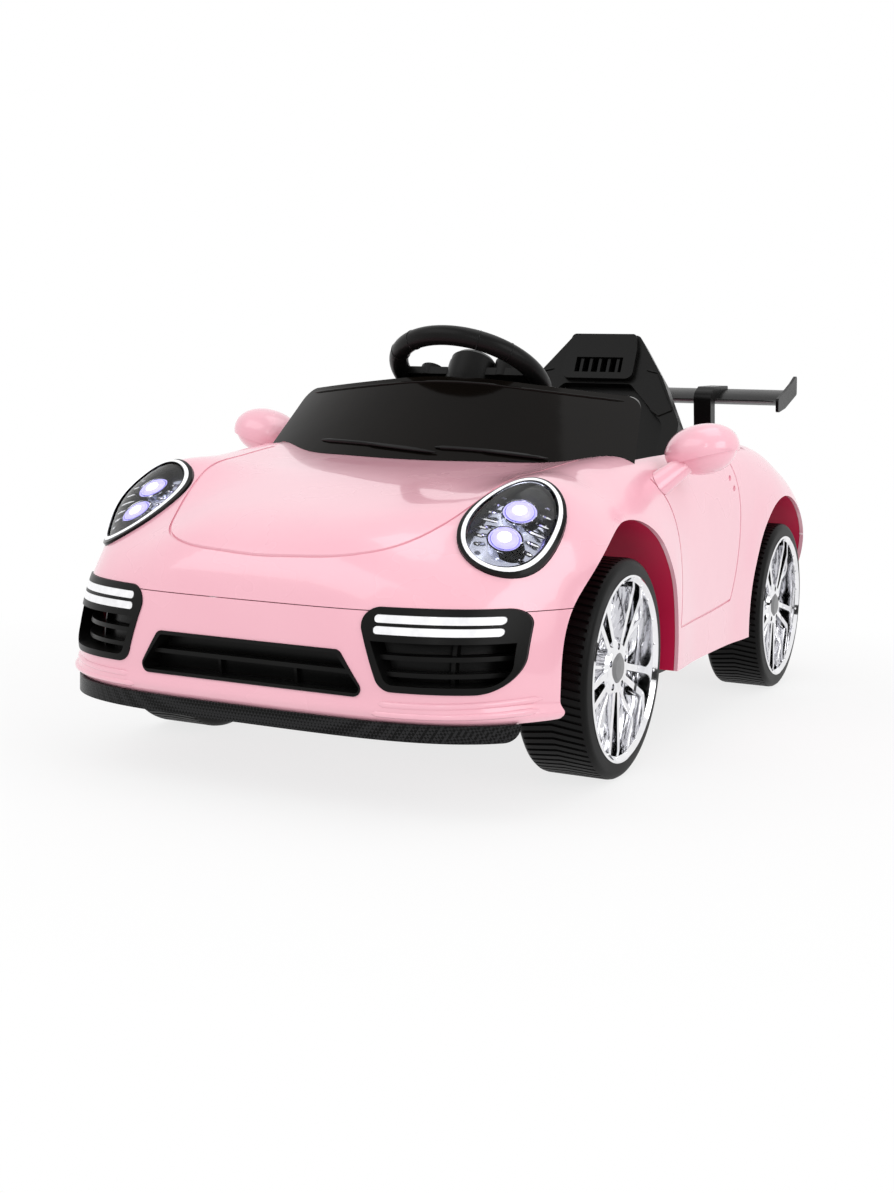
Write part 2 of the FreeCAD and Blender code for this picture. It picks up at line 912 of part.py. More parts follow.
def centre_grille():
    edge = size("frame_width") / 2
    height = (size("grille_top") + size("grille_foot")) / 2
    bar = level_slab(height - size("slat_height") / 2, height + size("slat_height") / 2)
    third = size("grille_foot_half") / 3
    thick = size("rib_width") / 2
    ribs = [block((place - thick, place + thick), (-FAR, front_y), (0, height))
            for place in (-third, third)]
    feature("centre_grille", insert(grille_form(0), grille_form(-edge), [bar], ribs))


def strip_form(index, margin):
    """Outline of one light strip on the left: the upper one is the first."""
    high = size("intake_top") - size("frame_width") - index * size("strip_pitch")
    low = high - size("strip_height")
    inner = size("strip_inner") - margin
    outer = size("strip_outer") + margin
    corners = [(inner, low - margin), (outer, low - margin), (outer, high + margin), (inner, high + margin)]
    return front_prism(corners, size("strip_height") / 2.2)


def side_intakes():
    edge = size("frame_width")
    outside = intake_form(0)
    strips_foot = size("intake_top") - edge - 2 * size("strip_pitch") - size("strip_drop")
    opening = intake_form(-edge).common(level_slab(0, strips_foot))
    pitch = (strips_foot - size("intake_foot")) / 3
    bars = []
    for number in (1, 2):
        height = size("intake_foot") + number * pitch
        bars.append(level_slab(height - size("slat_height") / 2, height + size("slat_height") / 2))
    middle = (size("intake_inner_foot") + size("intake_outer")) / 2
    rib = block((middle - size("rib_width") / 2, middle + size("rib_width") / 2), (-FAR, front_y), (0, FAR))
    intake = insert(outside, opening, bars, [rib])
    deep = size("strip_depth") + size("fit_gap")
    intake = intake.cut([carve(strip_form(index, size("fit_gap")), deep) for index in (0, 1)])
    for side, form in zip(SIDES, both(intake)):
        feature(f"side_intake_{side}", form)
    strips = [layer(strip_form(index, 0), -size("frame_proud"), size("strip_depth")).Solids[0]
              for index in (0, 1)]
    feature("light_strips", Part.makeCompound(strips + [mirrored(strip) for strip in strips]))


def headlamps():
    fit = size("fit_gap")
    depth = size("lamp_depth")
    inside = lamp_oval(-size("lamp_rim"))
    well = arch(front_y, size("arch_radius") + size("shell_wall") + fit)
    bezel = layer(lamp_oval(0).cut(inside), -size("lamp_proud"), depth).cut(well)
    glass_form = lamp_oval(-size("lamp_rim") - fit)
    glass = layer(glass_form, -size("frame_proud"), size("lens_wall") - size("frame_proud"))
    reflector = layer(glass_form, depth - size("reflector_wall"), depth)
    tubes = []
    for step in (-1, 1):
        spot = lamp_centre + lamp_slope * step * size("projector_spread") - lamp_axis * (depth - 1)
        tubes.append(Part.makeCylinder(size("projector_radius"), depth - size("lens_wall") - 5, spot,
                                       lamp_axis))
    reflector = reflector.fuse(tubes)
    for name, shape in (("bezel", bezel), ("lens", glass), ("reflector", reflector)):
        for side, form in zip(SIDES, both(shape)):
            feature(f"headlamp_{name}_{side}", form)


def front_lip():
    """Black lip under the bumper, following its plan, with rounded rear ends."""
    low = size("lip_bottom")
    tall = bottom - low

    def plan(margin):
        power = fullness(0)
        points = []
        for step in range(25):
            turn = math.pi * step / 24
            across = math.copysign(abs(math.cos(turn)) ** (2 / power), math.cos(turn))
            out = math.sin(turn) ** (2 / power)
            points.append(Vector(across * (size("nose_half_width") + margin),
                                 front_y - out * (size("foot_ahead") + margin), low))
        curve = Part.BSplineCurve()
        curve.interpolate(Points=points)
        close = Part.LineSegment(points[-1], points[0])
        return Part.Face(Part.Wire([curve.toShape(), close.toShape()])).extrude(Vector(0, 0, tall))

    end = front_y - size("lip_end")
    side_view = [Vector(-FAR, -FAR, low), Vector(-FAR, end, low), Vector(-FAR, end, bottom),
                 Vector(-FAR, -FAR, bottom)]
    lip = plan(size("lip_proud")).cut(plan(size("lip_proud") - size("lip_depth")))
    feature("front_lip", lip.common(prism(side_view, [0, 0.9 * tall, 0, 0], Vector(2 * FAR, 0, 0))))


# Screen, mirrors and wing

def windscreen():
    half = size("screen_half")
    base = size("screen_base_height")
    top = size("screen_top_height")
    narrow = (half - size("screen_top_half")) / (top - base)
    back = (size("screen_top") - size("screen_base")) / (top - base)
    bow = size("screen_bow")
    wall = size("screen_wall")

    def ring(height):
        x = half - narrow * (height - base)
        y = front_y + size("screen_base") + back * (height - base)
        outer = [Vector(-x, y, height), Vector(0, y - bow, height), Vector(x, y, height)]
        inner = [Vector(x - wall, y + wall / 2, height), Vector(0, y - bow + wall, height),
                 Vector(wall - x, y + wall / 2, height)]
        return Part.Wire([
            Part.Arc(*outer).toShape(),
            Part.LineSegment(outer[2], inner[0]).toShape(),
            Part.Arc(*inner).toShape(),
            Part.LineSegment(inner[2], outer[0]).toShape(),
        ])

    low = base - 40
    pane = Part.makeLoft([ring(low), ring(top + size("screen_crown") + 10)], True, True)
    foot_half = half + narrow * 40 + 2
    corners = [(-foot_half, low), (foot_half, low), (size("screen_top_half"), top),
               (0, top + size("screen_crown")), (-size("screen_top_half"), top)]
    radii = [0, 0, size("screen_corner"), half * 3, size("screen_corner")]
    face = prism([Vector(x, -FAR, z) for x, z in corners], radii, Vector(0, 2 * FAR, 0))
    feature("windscreen", pane.common(face).cut(body_solid(-size("fit_gap"))))


def mirror_pod(inset):
    """Rounded mirror pod lofted outwards through upright ovals."""
    inner = size("mirror_inner") + inset
    outer = size("mirror_outer") - inset
    y = front_y + size("mirror_behind")
    rings = []
    for share, swell in ((0, 0.3), (0.07, 0.56), (0.2, 0.82), (0.45, 1), (0.7, 0.95), (0.88, 0.7),
                         (0.97, 0.36), (1, 0.12)):
        centre = Vector(inner + (outer - inner) * share, y,
                        size("mirror_height") + size("mirror_rise") * (share - 0.5))
        oval = Part.Ellipse(centre + Y_AXIS * (size("mirror_long") * swell - inset * swell),
                            centre + Z_AXIS * (size("mirror_tall") * swell - inset * swell), centre)
        rings.append(Part.Wire([oval.toShape()]))
    return Part.makeLoft(rings, True, False)


def mirrors():
    middle = Vector((size("mirror_inner") + size("mirror_outer")) / 2, front_y + size("mirror_behind"),
                    size("mirror_height"))
    face_y = middle.y + size("mirror_cut")
    behind = block((0, FAR), (face_y, FAR), (0, FAR))
    below = prism([Vector(0, -FAR, 0), Vector(FAR, -FAR, 0), Vector(FAR, -FAR,
                                                                    middle.z - 8 + 0.28 * (FAR - middle.x)),
                   Vector(0, -FAR, middle.z - 8 - 0.28 * middle.x)], 0, Vector(0, 2 * FAR, 0))
    foot = Vector(size("mirror_foot_x"), front_y + size("mirror_foot_behind"), size("mirror_foot_height"))
    way = middle - foot
    stalk = Part.makeCone(size("mirror_stalk") * 1.3, size("mirror_stalk") * 0.8, way.Length, foot, way)

    def oval(margin):
        centre = Vector(middle.x, face_y - size("mirror_glass_wall"), middle.z)
        edge = Part.Ellipse(centre + X_AXIS * (size("mirror_glass_long") + margin),
                            centre + Z_AXIS * (size("mirror_glass_tall") + margin), centre)
        return Part.Face(Part.Wire([edge.toShape()]))

    dome = mirror_pod(0).cut(below)
    housing = dome.fuse([mirror_pod(size("mirror_step")), stalk])
    housing = housing.cut([behind, oval(size("fit_gap")).extrude(Y_AXIS * 10),
                           body_solid(-size("fit_gap"))])
    housing = max(housing.Solids, key=lambda solid: solid.Volume)
    for side, form in zip(SIDES, both(housing)):
        feature(f"mirror_housing_{side}", form)
    glass = oval(0).extrude(Y_AXIS * (size("mirror_glass_wall") - size("fit_gap")))
    feature("mirror_glasses", Part.makeCompound(both(glass)))


def wing_frame(along, up):
    """Point of the wing's side view, from its front edge along the chord and up from it."""
    pitch = math.radians(size("wing_pitch"))
    y = along * math.cos(pitch) - up * math.sin(pitch)
    z = along * math.sin(pitch) + up * math.cos(pitch)
    return Vector(0, rear_y + size("wing_front") + y, size("wing_height") + z)


def swept_across(face, middle, width):
    """Face of the middle plane swept to a width round one distance from it."""
    shape = face.copy()
    shape.translate(Vector(middle - width / 2, 0, 0))
    return shape.extrude(Vector(width, 0, 0))


def rear_wing():
    chord = size("wing_chord")
    wall = size("wing_wall")
    half = size("wing_half")
    upper = Part.BSplineCurve()
    upper.interpolate(Points=[wing_frame(0, 0), wing_frame(chord * 0.3, wall * 0.45), wing_frame(chord, 3)])
    lower = Part.BSplineCurve()
    lower.interpolate(Points=[wing_frame(0, 0), wing_frame(chord * 0.3, -wall * 0.55),
                              wing_frame(chord, 0)])
    tip = Part.LineSegment(wing_frame(chord, 3), wing_frame(chord, 0))
    blade = swept_across(Part.Face(Part.Wire([upper.toShape(), tip.toShape(), lower.toShape()])), 0,
                         2 * half)
    feature("wing_blade", blade)
    margin = size("end_plate_margin")
    tall = size("end_plate_height")
    corners = [(-margin, -wall * 0.95), (chord * 0.35, -wall * 0.8), (chord + margin, 0),
               (chord + margin, tall * 0.5),
               (chord * 0.72, tall * 0.32), (chord * 0.3, tall * 0.16), (-margin, 2)]
    plate = Part.Face(rounded([wing_frame(*corner) for corner in corners], 4))
    plate = swept_across(plate, half + size("end_plate_wall") / 2, size("end_plate_wall"))
    feature("wing_end_plates", Part.makeCompound(both(plate)))
    width = size("support_width")
    foot = wing_frame(-width * 0.9, -130)
    hook = [wing_frame(-width * 1.25, wall * 0.5), wing_frame(-width * 0.3, wall),
            wing_frame(chord * 0.62, wall * 0.8),
            wing_frame(chord * 0.62, 0), wing_frame(-width * 0.35, 0), wing_frame(-width * 0.3, -30),
            foot + Vector(0, width, 0), foot]
    arm = Part.Face(rounded(hook, [12, 12, 3, 0, 4, 10, 0, 0]))
    arm = swept_across(arm, size("support_x"), size("support_wall")).cut([blade,
                                                                          body_solid(-size("fit_gap"))])
    arm = max(arm.Solids, key=lambda solid: solid.Volume)
    feature("wing_supports", Part.makeCompound(both(arm)))


# Rear lamps, diffuser and wheel wells

def rear_trim():
    lamp = layer(tail_lamp_form(0), -size("frame_proud"), size("tail_lamp_depth")).Solids[0]
    feature("tail_lamps", Part.makeCompound(both(lamp)))
    fin = size("diffuser_fin") / 2
    spacing = size("diffuser_half") / 4
    fins = []
    for number in (-2, -1, 0, 1, 2):
        middle = number * spacing
        fins.append(block((middle - fin, middle + fin), (rear_y, FAR), (0, size("diffuser_top") - 14)))
    plate = layer(diffuser_form(0), -size("diffuser_proud"), size("diffuser_depth"))
    feature("rear_diffuser", plate.cut(carve(diffuser_form(1).cut(fins), 0)))


def wheel_wells():
    wall = size("shell_wall")
    inner = size("foot_half") + 12
    radius = size("arch_radius")
    wells = []
    for axle_y in (front_y, rear_y):
        around = arch(axle_y, radius + wall)
        tunnel = around.cut(arch(axle_y, radius)).common(block((inner, FAR), (-FAR, FAR), (bottom, FAR)))
        disc = around.common(block((inner, inner + wall), (-FAR, FAR), (2 * axle_z - 6, FAR)))
        well = tunnel.fuse(disc).common(body_solid(wall + size("fit_gap"))).removeSplitter()
        wells += both(well.Solids[0])
    feature("wheel_well_liners", Part.makeCompound(wells))


# Steering geometry

tilt = math.radians(size("column_tilt"))
column_axis = Vector(0, math.cos(tilt), math.sin(tilt))
crank_way = Vector(0, math.sin(tilt), -math.cos(tilt))
steering_turn = Rotation(X_AXIS, size("column_tilt") - 90)
steering_centre = Vector(0, front_y + size("steering_behind"), size("steering_height"))
tie_y = front_y + size("steer_arm")
crank_y = tie_y + size("crank_pin") / 2 * column_axis.y - size("crank_throw") * crank_way.y
crank_corner = steering_centre - column_axis * ((steering_centre.y - crank_y) / column_axis.y)
bearing_centre = crank_corner + column_axis * size("bearing_back")


def column_rod(radius, start, end):
    return Part.makeCylinder(radius, start.distanceToPoint(end), start, end - start)


# Interior

def dashboard():
    gap = size("fit_gap") * 2
    rear = front_y + size("dash_rear")
    top = size("dash_top")
    slab = cockpit_prism(gap, size("dash_bottom"), top).common(block((-FAR, FAR), (-FAR, rear), (0, FAR)))
    half = size("pod_half")
    front = rear - size("dash_rear") * 0.5
    pod_top = top + size("pod_height")
    pod = prism([Vector(-half, front, top - 4), Vector(-half, rear, top - 4), Vector(-half, rear, pod_top),
                 Vector(-half, front + 22, pod_top - 8)], [0, 0, 10, 14], Vector(2 * half, 0, 0))
    boss_middle = steering_centre - column_axis * ((steering_centre.y - rear) / column_axis.y)
    reach = column_axis * size("column_boss_reach")
    boss = column_rod(size("column_boss_radius"), boss_middle - reach, boss_middle + reach)
    bore = column_rod(size("column_radius") + size("running_gap"), boss_middle - column_axis * FAR,
                      steering_centre)
    level = size("control_level")
    button = size("button_radius") + size("button_gap")
    holes = [bore, body_solid(-size("fit_gap")).cut(cockpit_prism(0, 0, FAR))]
    for x, radius, deep in (("button_x", button, size("button_depth") + 4),
                            ("socket_x", size("socket_radius") + size("running_gap"),
                             size("socket_depth") + 2)):
        holes.append(Part.makeCylinder(radius, deep, Vector(size(x), rear - deep, level), Y_AXIS))
    wide = size("switch_width") + 2 * size("button_gap")
    switch_start = Vector(size("switch_x") - wide / 2, rear - size("switch_inset"), level)
    holes.append(Part.makeCylinder(size("switch_radius") + size("button_gap"), wide, switch_start, X_AXIS))
    dash = slab.fuse([pod, boss]).cut(holes)
    feature("dashboard", max(dash.Solids, key=lambda solid: solid.Volume))


def seat():
    """Base cushion and leaning back with a dished front and a barred headrest slot."""
    level = size("seat_level")
    wall = size("seat_wall")
    half = size("seat_half")
    narrow = size("tub_tail_half") - size("tub_wall") - 4
    step_y = rear_y - size("arch_margin") - size("tub_wall") - 2
    front = front_y + size("seat_front")
    hinge = front_y + size("seat_hinge")
    plan = [(half, front), (half, step_y), (narrow, step_y), (narrow, hinge), (-narrow, hinge),
            (-narrow, step_y), (-half, step_y), (-half, front)]
    cushion = prism([Vector(x, y, level) for x, y in plan], [30, 6, 0, 0, 0, 0, 6, 30], Vector(0, 0, wall))
    hollow = half - 2 * size("bolster")
    dish = prism([Vector(x, y, level + wall - size("seat_dish")) for x, y in
                  ((hollow, front - 40), (hollow, hinge), (-hollow, hinge), (-hollow, front - 40))], 0,
                 Vector(0, 0, FAR))
    cushion = cushion.cut(dish)
    tall = size("seat_back_height")
    thick = size("seat_back_wall")

    def back_form(edge, radii, start, depth):
        points = edge + [(-x, up) for x, up in edge[::-1]]
        return prism([Vector(x, start, up) for x, up in points], radii + radii[::-1], Vector(0, depth, 0))

    shoulder = (size("shoulder_half"), tall - size("shoulder_drop"))
    crown = (size("headrest_foot_half"), tall - size("headrest_drop"))
    top_half = size("headrest_half")
    back = back_form([(narrow, 0), shoulder, crown, (top_half, tall)], [0, 24, 20, 10], 0, thick)
    bolster = size("bolster")
    inner = [(narrow - bolster, -10), (shoulder[0] - bolster, shoulder[1]), (top_half, crown[1] - 10)]
    dish = back_form(inner, [0, 20, 8], -1, 1 + size("seat_dish"))
    pad_half = size("headrest_pad_half")
    proud = size("headrest_pad_proud")
    pad_edge = [(pad_half, tall - size("headrest_pad_height")), (pad_half, tall - 24),
                (top_half - 2, tall - 2)]
    back = back.cut(dish).fuse(back_form(pad_edge, [10, 20, 6], -proud, proud + size("seat_dish") + 4))
    slot_half = size("headrest_slot_half")
    slot_low = tall - size("headrest_slot_drop") - size("headrest_slot_height")
    slot = block((-slot_half, slot_half), (-2 * proud, thick * 0.5),
                 (slot_low, slot_low + size("headrest_slot_height")))
    bar = size("headrest_bar")
    bars = []
    for number in range(-2, 3):
        middle = number * slot_half / 2.6
        bars.append(block((middle - bar / 2, middle + bar / 2), (3 - proud, thick), (0, tall)))
    back = back.cut(slot.cut(bars))
    back.rotate(Vector(), X_AXIS, -size("seat_lean"))
    back.translate(Vector(0, hinge - thick * 0.2, level + wall * 0.4))
    feature("seat", cushion.fuse(back).removeSplitter())


# Wheels

HALF_TYRE = "tyre_width / 2"
WHEEL_X = "(wheel_face - tyre_width / 2)"
BORE = "axle_radius + running_gap"


def part_body(label, base, turn):
    """PartDesign body with its own placement, bound to the sheet."""
    body = doc.addObject("PartDesign::Body", label)
    body.Placement = FreeCAD.Placement(Vector(), turn)
    for letter, text in zip("xyz", base):
        bind(body, f"Placement.Base.{letter}", text)
    return node(body, label)


def primitive(body, kind, name, sizes, base=("0", "0", "0"), turn=Rotation()):
    """Additive or subtractive primitive in a body."""
    item = body.newObject(f"PartDesign::{kind}", name)
    for prop, text in sizes.items():
        bind(item, prop, text)
    item.Placement = FreeCAD.Placement(Vector(), turn)
    for letter, text in zip("xyz", base):
        bind(item, f"Placement.Base.{letter}", text)
    return item


def ring_of(body, original, axis_sketch, count):
    """Copies of a feature all round the body's axis."""
    pattern = body.newObject("PartDesign::PolarPattern", original.Name + "_ring")
    pattern.Originals = [original]
    pattern.Axis = (axis_sketch, ["N_Axis"])
    pattern.Angle = 360
    pattern.Occurrences = count
    body.Tip = pattern
    return pattern


def wheel(place, sign, axle):
    turn = Rotation(Y_AXIS, 90 * sign)
    base = (WHEEL_X if sign > 0 else f"-{WHEEL_X}", axle, "tyre_radius")
    seat_radius = "rim_radius - rim_lip + rim_seat_gap"
    web = f"web_inset - {HALF_TYRE}"
    web_face = f"web_inset + web_wall - {HALF_TYRE}"
    shoulder = "tyre_radius - tread_shoulder"
    tyre = part_body(f"tyre_{place}", base, turn)
    turned(tyre, [
        (BORE, f"-{HALF_TYRE}"), ("wheel_hub_radius", f"-{HALF_TYRE}"), ("wheel_hub_radius", web),
        ("rim_radius - 2 * rim_lip", web), ("rim_radius - rim_lip", f"-{HALF_TYRE}"),
                  (shoulder, f"-{HALF_TYRE}"),
        ("tyre_radius", f"tread_shoulder - {HALF_TYRE}"), ("tyre_radius", f"{HALF_TYRE} - tread_shoulder"),
        (shoulder, HALF_TYRE), ("rim_radius + rim_seat_gap", HALF_TYRE),
                  ("rim_radius + rim_seat_gap", f"{HALF_TYRE} - rim_lip"),
        (seat_radius, f"{HALF_TYRE} - rim_lip"), (seat_radius, web_face), ("wheel_hub_radius", web_face),
        ("wheel_hub_radius", "wheel_hub_end"), (BORE, "wheel_hub_end"),
    ])
    rim = part_body(f"rim_{place}", base, turn)
    rim.AllowCompound = True
    barrel = "rim_radius - rim_lip"
    barrel_foot = f"{HALF_TYRE} - rim_lip - rim_depth"
    turned(rim, [
        (barrel, barrel_foot), (barrel, f"{HALF_TYRE} - rim_lip"), ("rim_radius", f"{HALF_TYRE} - rim_lip"),
        ("rim_radius", f"{HALF_TYRE} + 1"), ("rim_radius - rim_lip / 2", f"{HALF_TYRE} + 2"),
        ("rim_radius - rim_lip - rim_wall / 2", f"{HALF_TYRE} - 2"),
                 ("rim_radius - rim_lip - rim_wall", barrel_foot),
    ])
    recess = "cap_radius + fit_gap"
    turned(rim, [
        ("nut_bore", "wheel_hub_end"), ("rim_hub_radius", "wheel_hub_end"),
                 ("rim_hub_radius", "rim_hub_face - 4"),
        ("rim_hub_radius - 4", "rim_hub_face"), (recess, "rim_hub_face"),
                 (recess, "rim_hub_face - cap_depth"),
        ("nut_bore", "rim_hub_face - cap_depth"),
    ])
    start = "rim_hub_radius - 5"
    reach = "rim_radius - rim_lip - rim_wall / 2"
    pair = []
    for way in ("", "-"):
        hub_low = f"{way}(spoke_spread / 2 - spoke_width / 2)"
        hub_high = f"{way}(spoke_spread / 2 + spoke_width / 2)"
        rim_low = f"{way}(spoke_fan / 2 - spoke_width / 2)"
        rim_high = f"{way}(spoke_fan / 2 + spoke_width / 2)"
        pair.append([(start, hub_low), (reach, rim_low), (reach, rim_high), (start, hub_high)])
    sketch = outline(rim, "XY_Plane", pair)
    bind(sketch, "AttachmentOffset.Base.z", "spoke_back")
    spokes = rim.newObject("PartDesign::Pad", rim.Name + "_spokes")
    spokes.Profile = sketch
    bind(spokes, "Length", "rim_hub_face - 1 - spoke_back")
    ring_of(rim, spokes, sketch, 5)
    lug_base = ("lug_circle * cos(36 deg)", "lug_circle * sin(36 deg)", "rim_hub_face - lug_depth")
    lug = primitive(rim, "SubtractiveCylinder", rim.Name + "_lug",
                    {"Radius": "lug_radius", "Height": "lug_depth + 1"}, lug_base)
    ring_of(rim, lug, sketch, 5)
    cap = part_body(f"hub_cap_{place}", base, turn)
    turned(cap, [
        ("0", "rim_hub_face - cap_depth"), ("cap_radius", "rim_hub_face - cap_depth"),
                 ("cap_radius", "rim_hub_face"),
        ("cap_radius * 0.8", "rim_hub_face + cap_crown * 0.7"), ("0", "rim_hub_face + cap_crown"),
    ])


def axle_nut(name, sign, axle):
    """Six-sided nut on the end of an axle, outside the wheel's hub."""
    start = f"{WHEEL_X} + wheel_hub_end + wheel_side_gap"
    blank = doc.addObject("Part::Prism", name + "_blank")
    blank.Polygon = 6
    bind(blank, "Circumradius", "nut_radius")
    bind(blank, "Height", "nut_depth")
    blank.Placement = FreeCAD.Placement(Vector(), Rotation(Z_AXIS, X_AXIS * sign))
    for letter, text in zip("xyz", (start if sign > 0 else f"-({start})", axle, "tyre_radius")):
        bind(blank, f"Placement.Base.{letter}", text)
    bore = rod(name + "_bore", BORE, ("0", axle, "tyre_radius"), X_AXIS * sign, "wheel_face")
    return cut(name, blank, [bore])


def group(label, items):
    """Separate solids that share one node."""
    item = doc.addObject("Part::Compound", label)
    item.Links = items
    return node(item, label)


# Chassis

FLOOR = "tub_bottom + tub_wall"
TUB_HALF = "(cockpit_half - 2 * fit_gap)"
MAIN_FRONT = f"{FRONT_AXLE} + arch_margin"
MAIN_REAR = f"{REAR_AXLE} - arch_margin"
PEDAL_Y = f"{FRONT_AXLE} + pedal_behind"
PEDAL_Z = f"{FLOOR} + pedal_lift"


def chassis_tub():
    wall = "tub_wall"
    top = f"{FAR}"
    tail_y = f"{REAR_AXLE} - tub_tail"
    pan = block((-FAR, FAR), (value(MAIN_FRONT), value(MAIN_REAR)),
                (size("pan_level"), size("pan_level") + size("tub_wall")))
    flange = doc.addObject("Part::Feature", "tub_flange")
    flange.Shape = pan.common(body_solid(size("shell_wall") + size("fit_gap")))
    walls = [
        box("foot_box", ("-foot_half", "foot_half"), (f"{FRONT_AXLE} + tub_front",
                                                      f"{MAIN_FRONT} + {wall}"),
            ("tub_bottom", "dash_bottom - 2 * fit_gap")),
        box("main_box", (f"-{TUB_HALF}", TUB_HALF), (MAIN_FRONT, MAIN_REAR), ("tub_bottom", "tub_top")),
        box("tail_box", ("-tub_tail_half", "tub_tail_half"), (f"{MAIN_REAR} - {wall}", tail_y),
            ("tub_bottom", "tub_tail_top")),
        box("axle_tongue", ("-beam_web_half", "beam_web_half"),
            (f"{FRONT_AXLE} - beam_half_depth", f"{FRONT_AXLE} + tub_front + {wall}"),
            ("tub_bottom", f"{KNUCKLE_LOW} - lug_gap - beam_plate")),
        flange,
    ]
    hollows = [
        box("foot_well", (f"{wall} - foot_half", f"foot_half - {wall}"),
            (f"{FRONT_AXLE} + tub_front + {wall}", f"{MAIN_FRONT} + 2 * {wall}"), (FLOOR, top)),
        box("main_well", (f"{wall} - {TUB_HALF}", f"{TUB_HALF} - {wall}"),
            (f"{MAIN_FRONT} + {wall}", f"{MAIN_REAR} - {wall}"), (FLOOR, top)),
        box("tail_well", (f"{wall} - tub_tail_half", f"tub_tail_half - {wall}"),
            (f"{MAIN_REAR} - 2 * {wall}", f"{tail_y} - {wall}"), (FLOOR, top)),
        box("dash_view", (f"{wall} - {TUB_HALF}", f"{TUB_HALF} - {wall}"),
            (f"{MAIN_FRONT} - {wall}", f"{MAIN_FRONT} + 2 * {wall}"), ("dash_bottom - 3 * tub_wall", top)),
    ]
    column_hole = doc.addObject("Part::Feature", "column_hole")
    column_hole.Shape = column_rod(2 * size("column_radius"), bearing_centre, steering_centre)
    tub = cut("tub_buckets", fuse("tub_walls", walls), hollows + [column_hole])
    fittings = [tub]
    axle_holes = [rod("rail_axle_hole", BORE, ("-wheel_face", REAR_AXLE, "tyre_radius"), X_AXIS,
                      "2 * wheel_face")]
    for side, sign in SIDES.items():
        fittings.append(box(f"rail_{side}", side_span(sign, "rail_x - rail_wall", "rail_x"),
                            (f"{tail_y} - {wall}", f"{REAR_AXLE} + rail_behind"),
                            ("tub_bottom", "rail_top")))
        fittings.append(box(f"seat_ledge_{side}", side_span(sign, "seat_half - ledge_width", "seat_half"),
                            (f"{FRONT_AXLE} + seat_front + 12", f"{MAIN_REAR} - {wall}"),
                            ("tub_bottom", "seat_level")))
        near = f"pedal_x + {sign} * (pedal_width / 2 + 1)"
        far = f"pedal_x + {sign} * (pedal_width / 2 + 5)"
        span = (near, far) if sign > 0 else (far, near)
        fittings.append(box(f"pedal_lug_{side}", span, (f"{PEDAL_Y} - 7", f"{PEDAL_Y} + 7"),
                            ("tub_bottom", f"{PEDAL_Z} + 6")))
    pin_hole = rod("pedal_pin_hole", "pedal_pin_radius + running_gap",
                   ("pedal_x - pedal_width", PEDAL_Y, PEDAL_Z), X_AXIS, "2 * pedal_width")
    node(cut("tub", fuse("tub_with_fittings", fittings), axle_holes + [pin_hole]), "chassis_tub")


KNUCKLE_LOW = "tyre_radius - knuckle_height / 2"
KNUCKLE_HIGH = "tyre_radius + knuckle_height / 2"
TIE_Y = f"{FRONT_AXLE} + steer_arm"
TIE_LOW = f"{KNUCKLE_LOW} + steer_arm_wall + tie_rod_lift"
TIE_HIGH = f"{TIE_LOW} + tie_rod_wall"


def front_axle():
    reach = "kingpin_x + beam_half_depth"
    deep = (f"{FRONT_AXLE} - beam_half_depth", f"{FRONT_AXLE} + beam_half_depth")
    lower = (f"{KNUCKLE_LOW} - lug_gap - beam_plate", f"{KNUCKLE_LOW} - lug_gap")
    upper = (f"{KNUCKLE_HIGH} + lug_gap", f"{KNUCKLE_HIGH} + lug_gap + beam_plate")
    web_y = (f"{FRONT_AXLE} - beam_web / 2", f"{FRONT_AXLE} + beam_web / 2")
    plate_top = value(upper[1])
    half_web = size("beam_web") / 2
    lean = crank_way * size("bearing_radius") * 0.8
    half_boss = column_axis * size("bearing_length") / 2
    corners = [Vector(0, front_y - size("beam_half_depth"), plate_top - 2),
               Vector(0, front_y + 10, plate_top - 2),
               bearing_centre - half_boss - lean, bearing_centre + half_boss - lean]
    web = prism([Vector(-half_web, spot.y, spot.z) for spot in corners], 0, Vector(2 * half_web, 0, 0))
    mount = doc.addObject("Part::Feature", "column_bearing")
    mount.Shape = web.fuse(column_rod(size("bearing_radius"), bearing_centre - half_boss,
                                      bearing_centre + half_boss))
    bore = doc.addObject("Part::Feature", "column_bearing_bore")
    bore.Shape = column_rod(size("column_radius") + size("running_gap"), crank_corner,
                            bearing_centre + 2 * half_boss)
    pieces = [
        box("beam_lower", (f"-({reach})", reach), deep, lower),
        box("beam_upper", (f"-({reach})", reach), deep, upper),
        box("beam_wall", ("-beam_web_half", "beam_web_half"), web_y, (lower[0], upper[1])),
        mount,
    ]
    holes = [bore]
    pins = []
    for side, sign in SIDES.items():
        x = f"{sign} * kingpin_x"
        holes.append(rod(f"kingpin_hole_{side}", "kingpin_radius + running_gap", (x, FRONT_AXLE, "0"),
                         Z_AXIS, "2 * tyre_radius"))
        shank = rod(f"kingpin_shank_{side}", "kingpin_radius", (x, FRONT_AXLE, lower[0]), Z_AXIS,
                    f"{upper[1]} + 1 - ({lower[0]})")
        head = rod(f"kingpin_head_{side}", "kingpin_head", (x, FRONT_AXLE, upper[1]), Z_AXIS,
                   "kingpin_head_depth")
        pins.append(fuse(f"kingpin_{side}", [shank, head]))
    node(cut("beam", fuse("beam_pieces", pieces), holes), "front_axle_beam")
    group("kingpins", pins)


